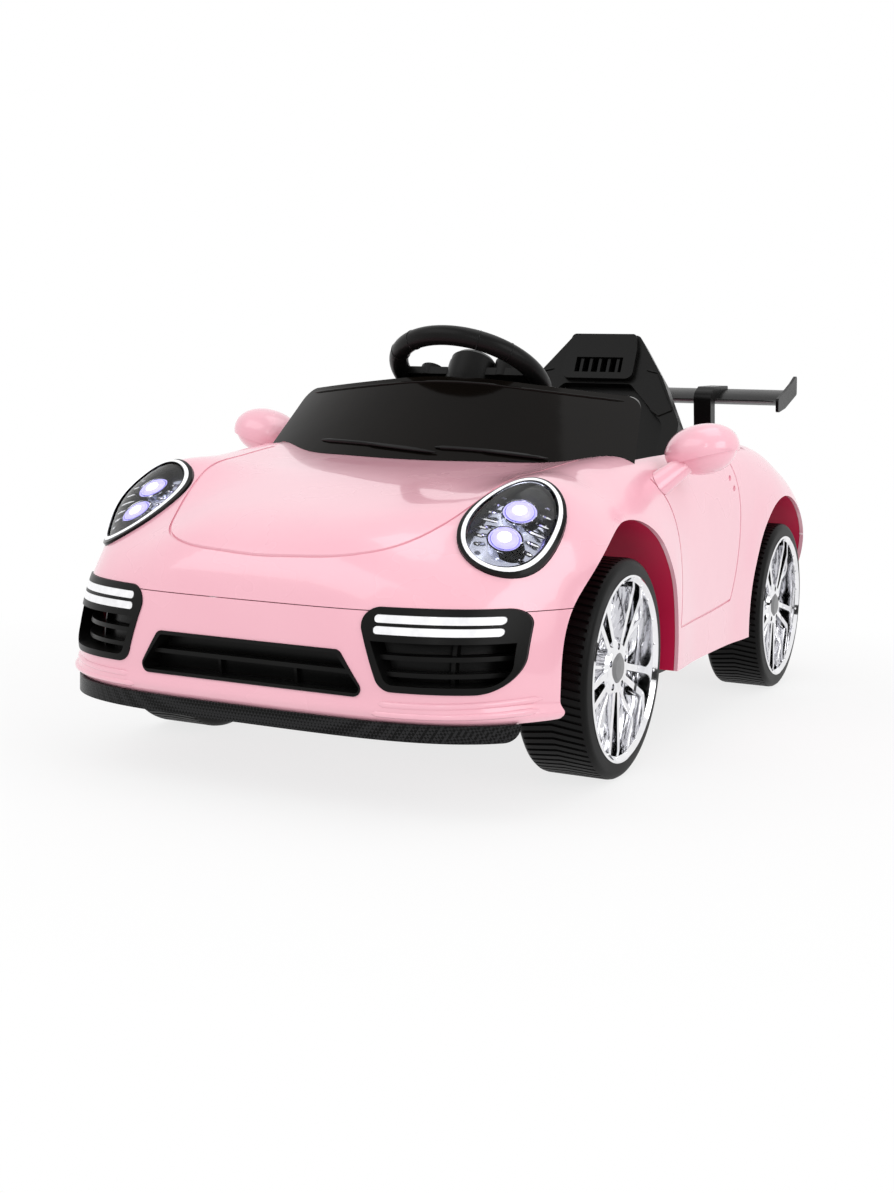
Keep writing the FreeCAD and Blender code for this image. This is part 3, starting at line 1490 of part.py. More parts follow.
def knuckle(side, sign):
    x = f"{sign} * kingpin_x"
    outwards = X_AXIS * sign
    pin_y = TIE_Y
    arm_top = f"{KNUCKLE_LOW} + steer_arm_wall"
    start = (x, FRONT_AXLE, "tyre_radius")
    pieces = [
        box(f"knuckle_block_{side}", side_span(sign, "kingpin_x - knuckle_length / 2",
                                               "kingpin_x + knuckle_length / 2"),
            (f"{FRONT_AXLE} - knuckle_depth / 2", f"{FRONT_AXLE} + knuckle_depth / 2"),
            (KNUCKLE_LOW, KNUCKLE_HIGH)),
        rod(f"knuckle_collar_{side}", "stub_collar", start, outwards,
            f"{WHEEL_X} - tyre_width / 2 - wheel_side_gap - kingpin_x"),
        rod(f"knuckle_stub_{side}", "axle_radius", start, outwards,
            f"{WHEEL_X} + wheel_hub_end + nut_depth + 1 - kingpin_x"),
        box(f"knuckle_arm_{side}", side_span(sign, "kingpin_x - steer_arm_width / 2",
                                             "kingpin_x + steer_arm_width / 2"),
            (FRONT_AXLE, f"{pin_y} + steer_arm_width / 2"), (KNUCKLE_LOW, arm_top)),
        rod(f"knuckle_seat_{side}", "steer_arm_width / 2", (x, pin_y, KNUCKLE_LOW), Z_AXIS,
            "steer_arm_wall + tie_rod_lift - fit_gap"),
        rod(f"knuckle_pin_{side}", "steer_pin_radius", (x, pin_y, KNUCKLE_LOW), Z_AXIS, "steer_pin_height"),
    ]
    bore = rod(f"knuckle_bore_{side}", "kingpin_radius + running_gap", (x, FRONT_AXLE, "0"), Z_AXIS,
               "2 * tyre_radius")
    node(cut(f"knuckle_cut_{side}", fuse(f"knuckle_pieces_{side}", pieces), [bore]), f"knuckle_{side}")


def tie_rod():
    half_y = (f"{TIE_Y} - tie_rod_width / 2", f"{TIE_Y} + tie_rod_width / 2")
    reach = "kingpin_x + steer_pin_radius + 2 * yoke_wall"
    pieces = [box("tie_bar", (f"-({reach})", reach), half_y, (TIE_LOW, TIE_HIGH))]
    slots = []
    slot = "steer_pin_radius + link_gap"
    for side, sign in SIDES.items():
        pieces.append(box(f"tie_yoke_{side}", side_span(sign, "column_radius + link_gap",
                                                        "column_radius + link_gap + yoke_wall"), half_y,
                          (TIE_LOW, f"{TIE_HIGH} + yoke_height")))
        slots.append(box(f"tie_slot_{side}", (f"{sign} * kingpin_x - ({slot})",
                                              f"{sign} * kingpin_x + {slot}"),
                         (f"{TIE_Y} - ({slot}) - link_travel", f"{TIE_Y} + {slot}"),
                         ("0", "2 * tyre_radius")))
    node(cut("tie_cut", fuse("tie_pieces", pieces), slots), "tie_rod")


def steering():
    radius = size("column_radius")
    pin_start = crank_corner + crank_way * size("crank_throw")
    column = column_rod(radius, crank_corner, steering_centre - column_axis * 3)
    crank = column_rod(radius, crank_corner, pin_start)
    pin = column_rod(radius, pin_start, pin_start - column_axis * size("crank_pin"))
    feature("steering_column", column.fuse([crank, pin, Part.makeSphere(radius, crank_corner),
                                            Part.makeSphere(radius, pin_start)]))
    base = ("0", f"{FRONT_AXLE} + steering_behind", "steering_height")
    wheel_body = part_body("steering_wheel", base, steering_turn)
    grip = primitive(wheel_body, "AdditiveTorus", "steering_grip_ring",
                     {"Radius1": "steering_radius", "Radius2": "steering_grip"})
    grip.Angle3 = 360
    hub_foot = "hub_pad_wall - steering_hub_depth"
    primitive(wheel_body, "AdditiveBox", "steering_cross_spoke",
              {"Length": "2 * steering_radius", "Width": "steering_spoke_width",
               "Height": "steering_spoke_wall"},
              ("-steering_radius", "-steering_spoke_width / 2", "-steering_spoke_wall / 2"))
    primitive(wheel_body, "AdditiveBox", "steering_foot_spoke",
              {"Length": "steering_spoke_width", "Width": "steering_radius",
               "Height": "steering_spoke_wall"},
              ("-steering_spoke_width / 2", "0", "-steering_spoke_wall / 2"))
    primitive(wheel_body, "AdditiveCylinder", "steering_hub",
              {"Radius": "steering_hub_radius", "Height": "steering_hub_depth"}, ("0", "0", hub_foot))
    primitive(wheel_body, "SubtractiveCylinder", "column_socket",
              {"Radius": "column_radius + running_gap", "Height": "steering_hub_depth - hub_pad_wall - 2"},
              ("0", "0", f"{hub_foot} - 1"))
    pod_top = "horn_pod_height - steering_spoke_wall / 2"
    for name, x in (("horn", "-horn_x"), ("music", "music_x")):
        primitive(wheel_body, "AdditiveCylinder", f"{name}_pod",
                  {"Radius": f"{name}_pod", "Height": f"{name}_pod_height"},
                  (x, "0", "-steering_spoke_wall / 2"))
    horn_foot = f"{pod_top} - horn_travel - 3"
    primitive(wheel_body, "SubtractiveCylinder", "horn_pocket",
              {"Radius": "horn_radius + button_gap", "Height": "horn_pod_height"},
              ("-horn_x", "0", horn_foot))
    pad = part_body("steering_hub_pad", base, steering_turn)
    turned(pad, [("0", "hub_pad_wall"), ("steering_hub_radius - 1", "hub_pad_wall"),
                 ("steering_hub_radius - 1", "1.6 * hub_pad_wall"),
                 ("steering_hub_radius - 5", "2 * hub_pad_wall"), ("0", "2.3 * hub_pad_wall")])
    horn = part_body("horn_button", base, steering_turn)
    low = f"{horn_foot} + horn_travel + fit_gap"
    primitive(horn, "AdditiveCylinder", "horn_cap", {"Radius": "horn_radius",
                                                     "Height": f"{pod_top} + horn_proud / 2 - ({low})"},
              ("-horn_x", "0", low))
    primitive(horn, "AdditiveCylinder", "horn_crown", {"Radius": "horn_radius * 0.8",
                                                       "Height": "horn_proud"}, ("-horn_x", "0", pod_top))


def rear_drive():
    end = f"{WHEEL_X} + wheel_hub_end + nut_depth + 1"
    node(rod("rear_axle", "axle_radius", (f"-({end})", REAR_AXLE, "tyre_radius"), X_AXIS, f"2 * ({end})"),
         "rear_axle")
    group("rear_axle_nuts", [axle_nut(f"rear_nut_{side}", sign, REAR_AXLE) for side, sign in SIDES.items()])
    inner = size("gearbox_inner")
    axle_spot = Vector(inner, rear_y, axle_z)
    motor_spot = axle_spot + Vector(0, size("motor_behind"), size("motor_lift"))
    width = X_AXIS * size("gearbox_width")
    head = size("motor_radius") + size("motor_margin")
    across = (motor_spot - axle_spot).normalize().cross(X_AXIS)
    big = size("gearbox_radius")
    bridge = prism([axle_spot + across * big * 0.97, motor_spot + across * head * 0.97,
                    motor_spot - across * head * 0.97,
                    axle_spot - across * big * 0.97], 0, width)
    case = Part.makeCylinder(big, width.x, axle_spot, X_AXIS)
    boss_length = value(f"{WHEEL_X} - tyre_width / 2 - wheel_side_gap") - inner
    case = case.fuse([bridge, Part.makeCylinder(head, width.x, motor_spot, X_AXIS),
                      Part.makeCylinder(size("gearbox_boss_radius"), boss_length, axle_spot, X_AXIS)])
    case = case.cut(Part.makeCylinder(size("axle_radius") + size("running_gap"), FAR, axle_spot - width,
                                      X_AXIS))
    feature("gearboxes", Part.makeCompound(both(case.removeSplitter())))
    motor_base = (f"{REAR_AXLE} + motor_behind", "tyre_radius + motor_lift")
    motors = []
    for side, sign in SIDES.items():
        motors.append(rod(f"motor_{side}", "motor_radius", (f"{sign} * gearbox_inner", *motor_base),
                          X_AXIS * -sign, "motor_length"))
    group("drive_motors", motors)


def electrical():
    half = "battery_length / 2"
    middle = f"{REAR_AXLE} - battery_ahead"
    case = box("battery_case", (f"-{half}", half), (f"{middle} - battery_width / 2",
                                                    f"{middle} + battery_width / 2"),
               (FLOOR, f"{FLOOR} + battery_height - 5"))
    tops = []
    for side, sign in SIDES.items():
        tops.append(box(f"battery_post_{side}", side_span(sign, f"{half} - 20", f"{half} - 8"),
                        (f"{middle} - 3", f"{middle} + 3"), (FLOOR, f"{FLOOR} + battery_height")))
    node(fuse("battery", [case] + tops), "battery")
    middle = f"{FRONT_AXLE} + control_behind"
    lid = box("control_lid", ("4 - control_length / 2", "control_length / 2 - 4"),
              (f"{middle} - control_width / 2 + 4", f"{middle} + control_width / 2 - 4"),
              (FLOOR, f"{FLOOR} + control_height + 3"))
    case = box("control_case", ("-control_length / 2", "control_length / 2"),
               (f"{middle} - control_width / 2", f"{middle} + control_width / 2"),
               (FLOOR, f"{FLOOR} + control_height"))
    node(fuse("control_unit", [case, lid]), "control_box")


def controls():
    rear = f"{FRONT_AXLE} + dash_rear"
    face_up = Rotation(X_AXIS, -90)
    button = part_body("start_button", ("button_x", rear, "control_level"), face_up)
    turned(button, [("0", "-button_depth"), ("button_radius", "-button_depth"),
                    ("button_radius", "button_proud - 1.5"),
                    ("button_radius - 1.5", "button_proud"), ("0", "button_proud")])
    socket = part_body("charge_socket", ("socket_x", rear, "control_level"), face_up)
    turned(socket, [("0", "-socket_depth"), ("socket_radius", "-socket_depth"), ("socket_radius", "0"),
                    ("socket_flange", "0"),
                    ("socket_flange", "socket_flange_wall"), ("socket_bore", "socket_flange_wall"),
                    ("socket_bore", "2 - socket_depth"), ("0", "2 - socket_depth")])
    switch = part_body("direction_switch", ("switch_x", f"{rear} - switch_inset", "control_level"),
                       Rotation())
    primitive(switch, "AdditiveCylinder", "switch_drum", {"Radius": "switch_radius",
                                                          "Height": "switch_width"},
              ("-switch_width / 2", "0", "0"), Rotation(Y_AXIS, 90))
    primitive(switch, "AdditiveBox", "switch_fin", {"Length": "switch_width",
                                                    "Width": "switch_radius + switch_fin", "Height": "3"},
              ("-switch_width / 2", "0", "-1.5"))
    pedal = part_body("accelerator_pedal", ("pedal_x", PEDAL_Y, PEDAL_Z),
                      Rotation(X_AXIS, -size("pedal_slope")))
    primitive(pedal, "AdditiveBox", "pedal_plate", {"Length": "pedal_width", "Width": "pedal_length + 6",
                                                    "Height": "pedal_wall"},
              ("-pedal_width / 2", "-pedal_length", "-pedal_wall / 2"))
    primitive(pedal, "AdditiveCylinder", "pedal_pin", {"Radius": "pedal_pin_radius",
                                                       "Height": "pedal_width + 12"},
              ("-pedal_width / 2 - 6", "0", "0"), Rotation(Y_AXIS, 90))


body_panels()
centre_grille()
side_intakes()
headlamps()
front_lip()
windscreen()
mirrors()
rear_wing()
rear_trim()
wheel_wells()
dashboard()
seat()
chassis_tub()
front_axle()
for side, sign in SIDES.items():
    knuckle(side, sign)
    node(axle_nut(f"front_nut_{side}", sign, FRONT_AXLE), f"front_axle_nut_{side}")
    wheel(f"front_{side}", sign, FRONT_AXLE)
    wheel(f"rear_{side}", sign, REAR_AXLE)
tie_rod()
steering()
rear_drive()
electrical()
controls()

doc.recompute()
for item in doc.Objects:
    if "Invalid" in item.State or "Error" in item.State:
        raise RuntimeError(f"{item.Label} did not compute")
os.makedirs("parts", exist_ok=True)
for item in nodes:
    shape = item.Shape
    if shape.isNull() or not shape.isValid() or not shape.Solids:
        raise RuntimeError(f"{item.Label} has no valid solid")
    shape.exportStep(f"parts/{item.Label}.step")
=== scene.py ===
"""Looks of the electric ride-on car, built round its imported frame. Sizes are in metres."""
import json
import math

import bpy
from mathutils import Matrix, Vector
from mathutils.bvhtree import BVHTree


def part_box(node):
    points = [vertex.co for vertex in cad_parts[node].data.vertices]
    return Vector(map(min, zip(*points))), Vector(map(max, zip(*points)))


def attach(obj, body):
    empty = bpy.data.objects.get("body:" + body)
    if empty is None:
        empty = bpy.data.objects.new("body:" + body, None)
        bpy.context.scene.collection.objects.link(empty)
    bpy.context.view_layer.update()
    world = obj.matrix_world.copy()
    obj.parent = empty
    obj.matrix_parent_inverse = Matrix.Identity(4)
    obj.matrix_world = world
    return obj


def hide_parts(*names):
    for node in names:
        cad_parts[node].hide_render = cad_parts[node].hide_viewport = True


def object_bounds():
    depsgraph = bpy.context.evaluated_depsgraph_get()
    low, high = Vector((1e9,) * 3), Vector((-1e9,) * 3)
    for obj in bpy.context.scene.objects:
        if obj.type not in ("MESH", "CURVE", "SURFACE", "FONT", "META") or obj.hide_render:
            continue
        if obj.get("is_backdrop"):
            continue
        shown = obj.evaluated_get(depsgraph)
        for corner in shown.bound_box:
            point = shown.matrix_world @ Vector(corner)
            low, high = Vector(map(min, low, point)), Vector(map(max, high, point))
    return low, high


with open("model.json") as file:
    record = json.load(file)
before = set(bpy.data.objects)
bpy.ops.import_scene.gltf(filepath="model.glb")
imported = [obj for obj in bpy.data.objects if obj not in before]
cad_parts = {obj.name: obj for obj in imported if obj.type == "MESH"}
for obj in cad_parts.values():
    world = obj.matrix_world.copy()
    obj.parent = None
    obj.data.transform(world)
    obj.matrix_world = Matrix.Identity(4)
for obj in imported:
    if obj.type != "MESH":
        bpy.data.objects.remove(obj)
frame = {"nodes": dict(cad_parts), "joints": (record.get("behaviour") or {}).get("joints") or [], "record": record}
bounds_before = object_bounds()
nodes = frame["nodes"]

X_AXIS = Vector((1, 0, 0))
Y_AXIS = Vector((0, 1, 0))
Z_AXIS = Vector((0, 0, 1))
SIDES = {"left": 1, "right": -1}
WHEELS = ("front_left", "front_right", "rear_left", "rear_right")
TURN = 2 * math.pi

# Tubes: share of the thickness at an open end, and the steepness from which a path counts as upright
TUBE_TAPER = 0.35
UPRIGHT = 0.99

# The photograph's camera
PHOTO_WIDTH = 894
PHOTO_HEIGHT = 1193
FOCAL_PIXELS = 1532.8
PHOTO_MIDDLE = (509.34, 529.65)
CAMERA_PLACE = Vector((0.74615, -1.6145, 0.34809))
CAMERA_RIGHT = Vector((0.90921, 0.41521, 0.03053))
CAMERA_UP = Vector((-0.0608, 0.05988, 0.99635))
CAMERA_FORWARD = Vector((-0.41186, 0.90775, -0.07969))
SENSOR = 36

# Tyres. A lug's steps are (share of the pitch, 1 on the groove's floor and 0 on the tread)
LUGS = 84
LUG_STEPS = ((0, 0), (0.07, 1), (0.34, 1), (0.41, 0))
GROOVE_DEPTH = 0.002
TREAD_SKEW = 0.05
TREAD_ROWS = 10
TREAD_SHARP = 25
SHOULDER = 0.007
SHOULDER_STEPS = 4
WALL_WIDTH = 0.0158
BORE = 0.00605
HUB = 0.02
WEB_BACK = 0.008
WEB_FRONT = 0.013
HUB_END = 0.04
RIM_STEP = 0.004

# Rims. Places are distances outwards from the wheel's middle
RIM_RADIUS = 0.089
DISH_INSIDE = 0.0275
DISH_OUTSIDE = 0.0795
DISH_ROWS = 8
DISH_FRONT = 0.0077
DISH_BACK = 0.005
DISH_RISE = 0.0025
DISH_SINK = 0.0015
FLUTES = 40
FLUTE_STEPS = 6
BAR_PAIRS = 5
BAR_START = 0.0262
BAR_END = 0.0815
BAR_SPREAD = 0.0035
BAR_FAN = 0.0085
BAR_PLACE = 0.0215
BAR_SAG = 0.003
BAR_THICK = 0.0026
BAR_STEPS = 8
RIM_BOLTS = 20
BOLT_INSET = 0.0046
BOLT_PLACE = 0.0335
BOLT_PROFILE = ((0.0017, -0.0015), (0.0017, 0.0006), (0.0011, 0.0013), (0.0004, 0.0015))

# Headlamps, in the left lamp's own directions
LAMP_CENTRE = Vector((0.197, -0.398, 0.2446))
LAMP_AXIS = Vector((0.232, -0.601, 0.764)).normalized()
LAMP_UPWARD = Vector((0.05, 0.79, 0.6))
LAMP_SLOPE = (LAMP_UPWARD - LAMP_AXIS * LAMP_AXIS.dot(LAMP_UPWARD)).normalized()
LAMP_ACROSS = LAMP_AXIS.cross(LAMP_SLOPE)
LAMP_CLEAR = 0.08
LENS_LONG = 0.0555
LENS_WIDE = 0.0365
RING_OUT = 0.0024
RING_SINK = 0.0011
RING_THICK = 0.0023
RING_STEPS = 64
FIN_ROWS = 3
FIN_PITCH = 0.0105
FIN_WIDE = 0.8
FIN_LONG = 0.9
FIN_PROBE = 0.9
FIN_NEAR = 0.0165
FIN_NEAR_MIDDLE = 0.012
FIN_SHORTEST = 0.005
FIN_SINK = 0.013
FIN_THICK = 0.0022
FIN_STEPS = 4
PROJECTOR_SPREAD = 0.017
PROJECTOR_RADIUS = 0.0135
PROJECTOR_DEPTH = -0.006
PROJECTOR_BEZEL = ((0.0006, -0.006), (0.0018, 0.0005), (0.0008, 0.0026), (-0.001, 0.0014), (-0.0022, -0.001))
LENS_SHARE = 0.86
LENS_FOOT = 0.0012
LENS_RISE = 0.0042
LENS_TURNS = (0, 0.35, 0.7, 1.05, 1.35, 1.5)
CORE_SHARE = 0.46
CORE_FOOT = 0.0046
CORE_RISE = 0.0012
CORE_TURNS = (0, 0.5, 1.0, 1.4)

# Windscreen. A wiper is its start and end across the car and its height
BEAD_SPAN = 0.86
BEAD_DROP = 0.0055
BEAD_LIFT = 0.0002
BEAD_THICK = 0.0013
BEAD_STEPS = 60
EDGE_SEARCH = 0.01
EDGE_FOOT = 0.35
EDGE_ERROR = 0.0004
WIPERS = ((-0.13, 0.012, 0.3065), (0.02, 0.128, 0.3045))
BLADE_DROP = 0.006
BLADE_LIFT = 0.0016
BLADE_THICK = 0.0022
BLADE_STEPS = 12
ARM_START = 0.45
ARM_PAST = 0.012
ARM_BELOW = 0.001
ARM_DROP = 0.006
ARM_LIFT = 0.003
ARM_THICK = 0.0018
ARM_STEPS = 8

# Trim lines. Places are (across, height); a crease is its start across, its height and its rise
SEAT_TRIM = ((0.066, 0.402), (0.086, 0.398), (0.112, 0.372), (0.11, 0.35), (0.094, 0.343), (0.066, 0.36))
SEAT_TRIM_STEPS = 6
SEAT_TRIM_LIFT = 0.0004
SEAT_TRIM_THICK = 0.0014
CREASES = ((0.128, 0.098, 0.004), (0.122, 0.0895, 0.003))
CREASE_END = 0.243
CREASE_SINK = 0.0012
CREASE_THICK = 0.003
CREASE_STEPS = 24
GRIP = 0.0106
BAND_DEGREES = (38, 62, 118, 142, 205, 335)
BAND_STEPS = 28
BAND_THICK = 0.0006
STRIP_INSET = 0.006
STRIP_HEIGHT = 0.0045
STRIP_THICK = 0.0022
STRIP_CLEAR = 0.2
STRIP_STEPS = 24

# Stage
FLOOR_HALF = 6
FLOOR_NEAR = 0.5
FLOOR_FAR = 0.95
FLOOR_WHITE = 0.78
AMBIENT = 0.74


# Materials

def shader(name):
    """New node material, with its tree and its Principled shader."""
    material = bpy.data.materials.new(name)
    material.use_nodes = True
    tree = material.node_tree
    return material, tree, tree.nodes["Principled BSDF"]


def set_inputs(item, **values):
    """Constant values of a node's own sockets."""
    for name, value in values.items():
        item.inputs[name.replace("_", " ")].default_value = value


def noise(tree, scale, detail=2):
    """Noise in the object's own coordinates."""
    place = tree.nodes.new("ShaderNodeTexCoord")
    item = tree.nodes.new("ShaderNodeTexNoise")
    set_inputs(item, Scale=scale, Detail=detail)
    tree.links.new(place.outputs["Object"], item.inputs["Vector"])
    return item.outputs["Fac"]


def shaded(colour, share):
    return [share * part for part in colour]


def blend(tree, factor, low, high, socket):
    """Two colours blended by a texture's factor, into a socket of the shader."""
    item = tree.nodes.new("ShaderNodeValToRGB")
    for element, stop, colour in zip(item.color_ramp.elements, (0.3, 0.7), (low, high)):
        element.position = stop
        element.color = (*colour, 1)
    tree.links.new(factor, item.inputs["Fac"])
    tree.links.new(item.outputs["Color"], socket)


def uneven(tree, factor, low, high, bsdf):
    """Roughness that varies between two values."""
    blend(tree, factor, (low, low, low), (high, high, high), bsdf.inputs["Roughness"])


def relief(tree, bsdf, height, strength, distance):
    """Bump from a texture's height."""
    bump = tree.nodes.new("ShaderNodeBump")
    set_inputs(bump, Strength=strength, Distance=distance)
    tree.links.new(height, bump.inputs["Height"])
    tree.links.new(bump.outputs["Normal"], bsdf.inputs["Normal"])


def moulded(name, colour, shade, rough, coat=0.0, grain=(900, 0.05, 0.0002), patch=9, shine=0.5):
    """Moulded plastic: two close shades, uneven gloss and a grain of (scale, strength, distance)."""
    material, tree, bsdf = shader(name)
    cloud = noise(tree, patch, 3)
    blend(tree, cloud, shade, colour, bsdf.inputs["Base Color"])
    uneven(tree, cloud, rough * 0.85, rough * 1.15, bsdf)
    set_inputs(bsdf, Coat_Weight=coat, Coat_Roughness=0.04, Specular_IOR_Level=shine)
    relief(tree, bsdf, noise(tree, grain[0]), grain[1], grain[2])
    return material


def chromed(name, colour, rough):
    """Bright metal film with the soft ripple of the plastic under it."""
    material, tree, bsdf = shader(name)
    ripple = noise(tree, 60)
    blend(tree, ripple, shaded(colour, 0.9), colour, bsdf.inputs["Base Color"])
    uneven(tree, ripple, rough * 0.6, rough * 1.4, bsdf)
    set_inputs(bsdf, Metallic=1.0)
    relief(tree, bsdf, ripple, 0.12, 0.0006)
    return material


def carbon_weave():
    """Black film with a fine diagonal weave."""
    material, tree, bsdf = shader("carbon_film")
    place = tree.nodes.new("ShaderNodeTexCoord")
    turn = tree.nodes.new("ShaderNodeMapping")
    set_inputs(turn, Rotation=(math.radians(45), 0, math.radians(45)))
    tree.links.new(place.outputs["Object"], turn.inputs["Vector"])
    checker = tree.nodes.new("ShaderNodeTexChecker")
    set_inputs(checker, Scale=420)
    tree.links.new(turn.outputs["Vector"], checker.inputs["Vector"])
    weave = checker.outputs["Fac"]
    blend(tree, weave, (0.003, 0.003, 0.003), (0.02, 0.02, 0.021), bsdf.inputs["Base Color"])
    uneven(tree, weave, 0.22, 0.4, bsdf)
    set_inputs(bsdf, Specular_IOR_Level=0.1)
    relief(tree, bsdf, weave, 0.15, 0.0002)
    return material


def clear_plastic():
    """Clear moulding with a faint cool tint in places."""
    material, tree, bsdf = shader("clear_plastic")
    blend(tree, noise(tree, 40), (0.97, 0.98, 1.0), (1.0, 1.0, 1.0), bsdf.inputs["Base Color"])
    set_inputs(bsdf, Transmission_Weight=1.0, Roughness=0.01, IOR=1.25)
    return material


def glowing_plastic(name, colour, glow, strength):
    """Translucent plastic that glows: a lamp behind it at the LEDs and the red lenses, painted light on the unlit
    white lenses and the white bezel ring.
    """
    material, tree, bsdf = shader(name)
    blend(tree, noise(tree, 120), shaded(colour, 0.85), colour, bsdf.inputs["Base Color"])
    set_inputs(bsdf, Roughness=0.18, Coat_Weight=0.4, Emission_Color=(*glow, 1), Emission_Strength=strength)
    return material


PINK = moulded("pink_gloss", (0.89, 0.47, 0.55), (0.87, 0.44, 0.525), rough=0.26, coat=0.75,
               grain=(700, 0.02, 0.0001))
# Pink wheel-well liner painted deep crimson: painted shade and bounced pink light inside the arches
PAINTED_SHADE_LINER = moulded("pink_liner_painted_shade", (0.62, 0.014, 0.075), (0.52, 0.01, 0.055), rough=0.4, shine=0.2)
BLACK = moulded("black_satin", (0.006, 0.0058, 0.0055), (0.003, 0.003, 0.003), rough=0.32,
                grain=(1400, 0.16, 0.0003), shine=0.12)
GLOSS = moulded("black_gloss", (0.005, 0.005, 0.005), (0.003, 0.003, 0.003), rough=0.14,
                grain=(500, 0.01, 0.0001), shine=0.14)
SMOKED = moulded("smoked_plastic", (0.006, 0.0045, 0.0035), (0.003, 0.0024, 0.002), rough=0.1,
                 grain=(30, 0.1, 0.0012), patch=5, shine=0.09)
TYRE = moulded("tyre_black", (0.006, 0.006, 0.006), (0.0035, 0.0035, 0.0035), rough=0.44,
               grain=(1100, 0.2, 0.0003), shine=0.1)
GREY = moulded("grey_plastic", (0.2, 0.2, 0.205), (0.15, 0.15, 0.155), rough=0.4)
RED = moulded("red_plastic", (0.62, 0.02, 0.04), (0.5, 0.015, 0.03), rough=0.22, coat=0.5)
STEEL = chromed("plain_steel", (0.5, 0.5, 0.52), rough=0.34)
CHROME = chromed("bright_chrome", (0.9, 0.9, 0.92), rough=0.06)
MIRROR = chromed("mirror_film", (0.86, 0.87, 0.9), rough=0.02)
SILVER = chromed("lamp_silver", (0.55, 0.57, 0.68), rough=0.14)
CARBON = carbon_weave()
CLEAR = clear_plastic()
# The white lenses are unlit; their faint glow is painted light that brightens them
WHITE_LENS_PAINTED_GLOW = glowing_plastic("white_lens", (0.86, 0.86, 0.88), glow=(1, 1, 1), strength=0.1)
RED_LENS = glowing_plastic("red_lens", (0.5, 0.012, 0.02), glow=(1, 0.02, 0.03), strength=0.03)
LED = glowing_plastic("led_glow", (0.6, 0.58, 0.95), glow=(0.45, 0.4, 1.0), strength=1.0)
# The white ring on each bezel is unlit; its glow is painted light that makes it whiter
RING_PAINTED_GLOW = glowing_plastic("ring_painted_glow", (0.95, 0.95, 0.97), glow=(0.95, 0.96, 1.0), strength=0.25)
LED_CORE = glowing_plastic("led_core", (1, 1, 1), glow=(0.93, 0.92, 1.0), strength=3)

SLOT_LOOKS = {
    "pink_gloss": PINK,
    "pink_liner": PAINTED_SHADE_LINER,
    "black_satin": BLACK,
    "black_gloss": GLOSS,
    "smoked_plastic": SMOKED,
    "clear_lens": CLEAR,
    "lamp_silver": SILVER,
    "white_lens": WHITE_LENS_PAINTED_GLOW,
    "red_lens": RED_LENS,
    "red_plastic": RED,
    "mirror_film": MIRROR,
    "tyre_black": TYRE,
    "bright_chrome": CHROME,
    "grey_plastic": GREY,
    "steel": STEEL,
}


def dress_frame():
    """Material of each CAD node, from the record's slots. The front lip has the weave."""
    for row in frame["record"]["subparts"]:
        mesh = nodes[row["node"]].data
        mesh.materials.clear()
        mesh.materials.append(CARBON if row["node"] == "front_lip" else SLOT_LOOKS[row["material_slot"]])


# Mesh pieces

def piece(name, points, faces, material, slot, body="chassis", sharp=35):
    """Closed mesh that rides on a body, in the material given. The slot is not used."""
    mesh = bpy.data.meshes.new(name)
    mesh.from_pydata([tuple(point) for point in points], [], faces)
    mesh.validate()
    mesh.materials.append(material)
    item = bpy.data.objects.new(name, mesh)
    bpy.context.scene.collection.objects.link(item)
    bpy.context.view_layer.objects.active = item
    item.select_set(True)
    bpy.ops.object.mode_set(mode="EDIT")
    bpy.ops.mesh.select_all(action="SELECT")
    bpy.ops.mesh.normals_make_consistent(inside=False)
    bpy.ops.object.mode_set(mode="OBJECT")
    bpy.ops.object.shade_smooth_by_angle(angle=math.radians(sharp))
    item.select_set(False)
    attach(item, body)
    return item


def shares(steps):
    """Even shares from 0 to 1, both ends included."""
    return [step / steps for step in range(steps + 1)]


def turns(steps):
    """Even angles round a full turn."""
    return [TURN * step / steps for step in range(steps)]


def between(start, end, share):
    return start + (end - start) * share


def grid_faces(rows, columns, close_rows):
    """Quads over a grid of points written row by row, with each row a closed loop."""
    faces = []
    for row in range(rows if close_rows else rows - 1):
        for column in range(columns):
            below = (row + 1) % rows
            beside = (column + 1) % columns
            corners = ((row, column), (row, beside), (below, beside), (below, column))
            faces.append([r * columns + c for r, c in corners])
    return faces


def end_faces(rows, columns):
    """The first and the last row of a grid as one face each."""
    return [list(range(columns)), list(range((rows - 1) * columns, rows * columns))]


def tube(path, radius, closed=False, sides=10):
    """Points and faces of a round tube along a path, tapered at open ends."""
    count = len(path)
    points = []
    for index, place in enumerate(path):
        before = path[index - 1] if closed or index else place
        after = path[(index + 1) % count] if closed or index < count - 1 else place
        way = (after - before).normalized()
        aside = way.orthogonal() if abs(way.z) > UPRIGHT else way.cross(Z_AXIS).normalized()
        up = aside.cross(way)
        thick = radius * (TUBE_TAPER if not closed and index in (0, count - 1) else 1)
        for turn in turns(sides):
            points.append(place + aside * (thick * math.cos(turn)) + up * (thick * math.sin(turn)))
    faces = grid_faces(count, sides, closed)
    if not closed:
        faces += end_faces(count, sides)
    return points, faces


def turned(profile, base, axis, steps=48):
    """Points and faces of a profile of (radius, height) turned round an axis, closed at its ends."""
    aside = axis.orthogonal().normalized()
    other = axis.cross(aside)
    points = []
    for radius, height in profile:
        for turn in turns(steps):
            spread = aside * math.cos(turn) + other * math.sin(turn)
            points.append(base + axis * height + spread * radius)
    return points, grid_faces(len(profile), steps, False) + end_faces(len(profile), steps)


def joined(parts):
    """Several points-and-faces pairs as one."""
    points = []
    faces = []
    for part_points, part_faces in parts:
        faces += [[len(points) + index for index in face] for face in part_faces]
        points += part_points
    return points, faces


def mirrored(part, sign):
    """A points-and-faces pair on the side of the car that the sign gives."""
    points, faces = part
    return [Vector((sign * point.x, point.y, point.z)) for point in points], faces


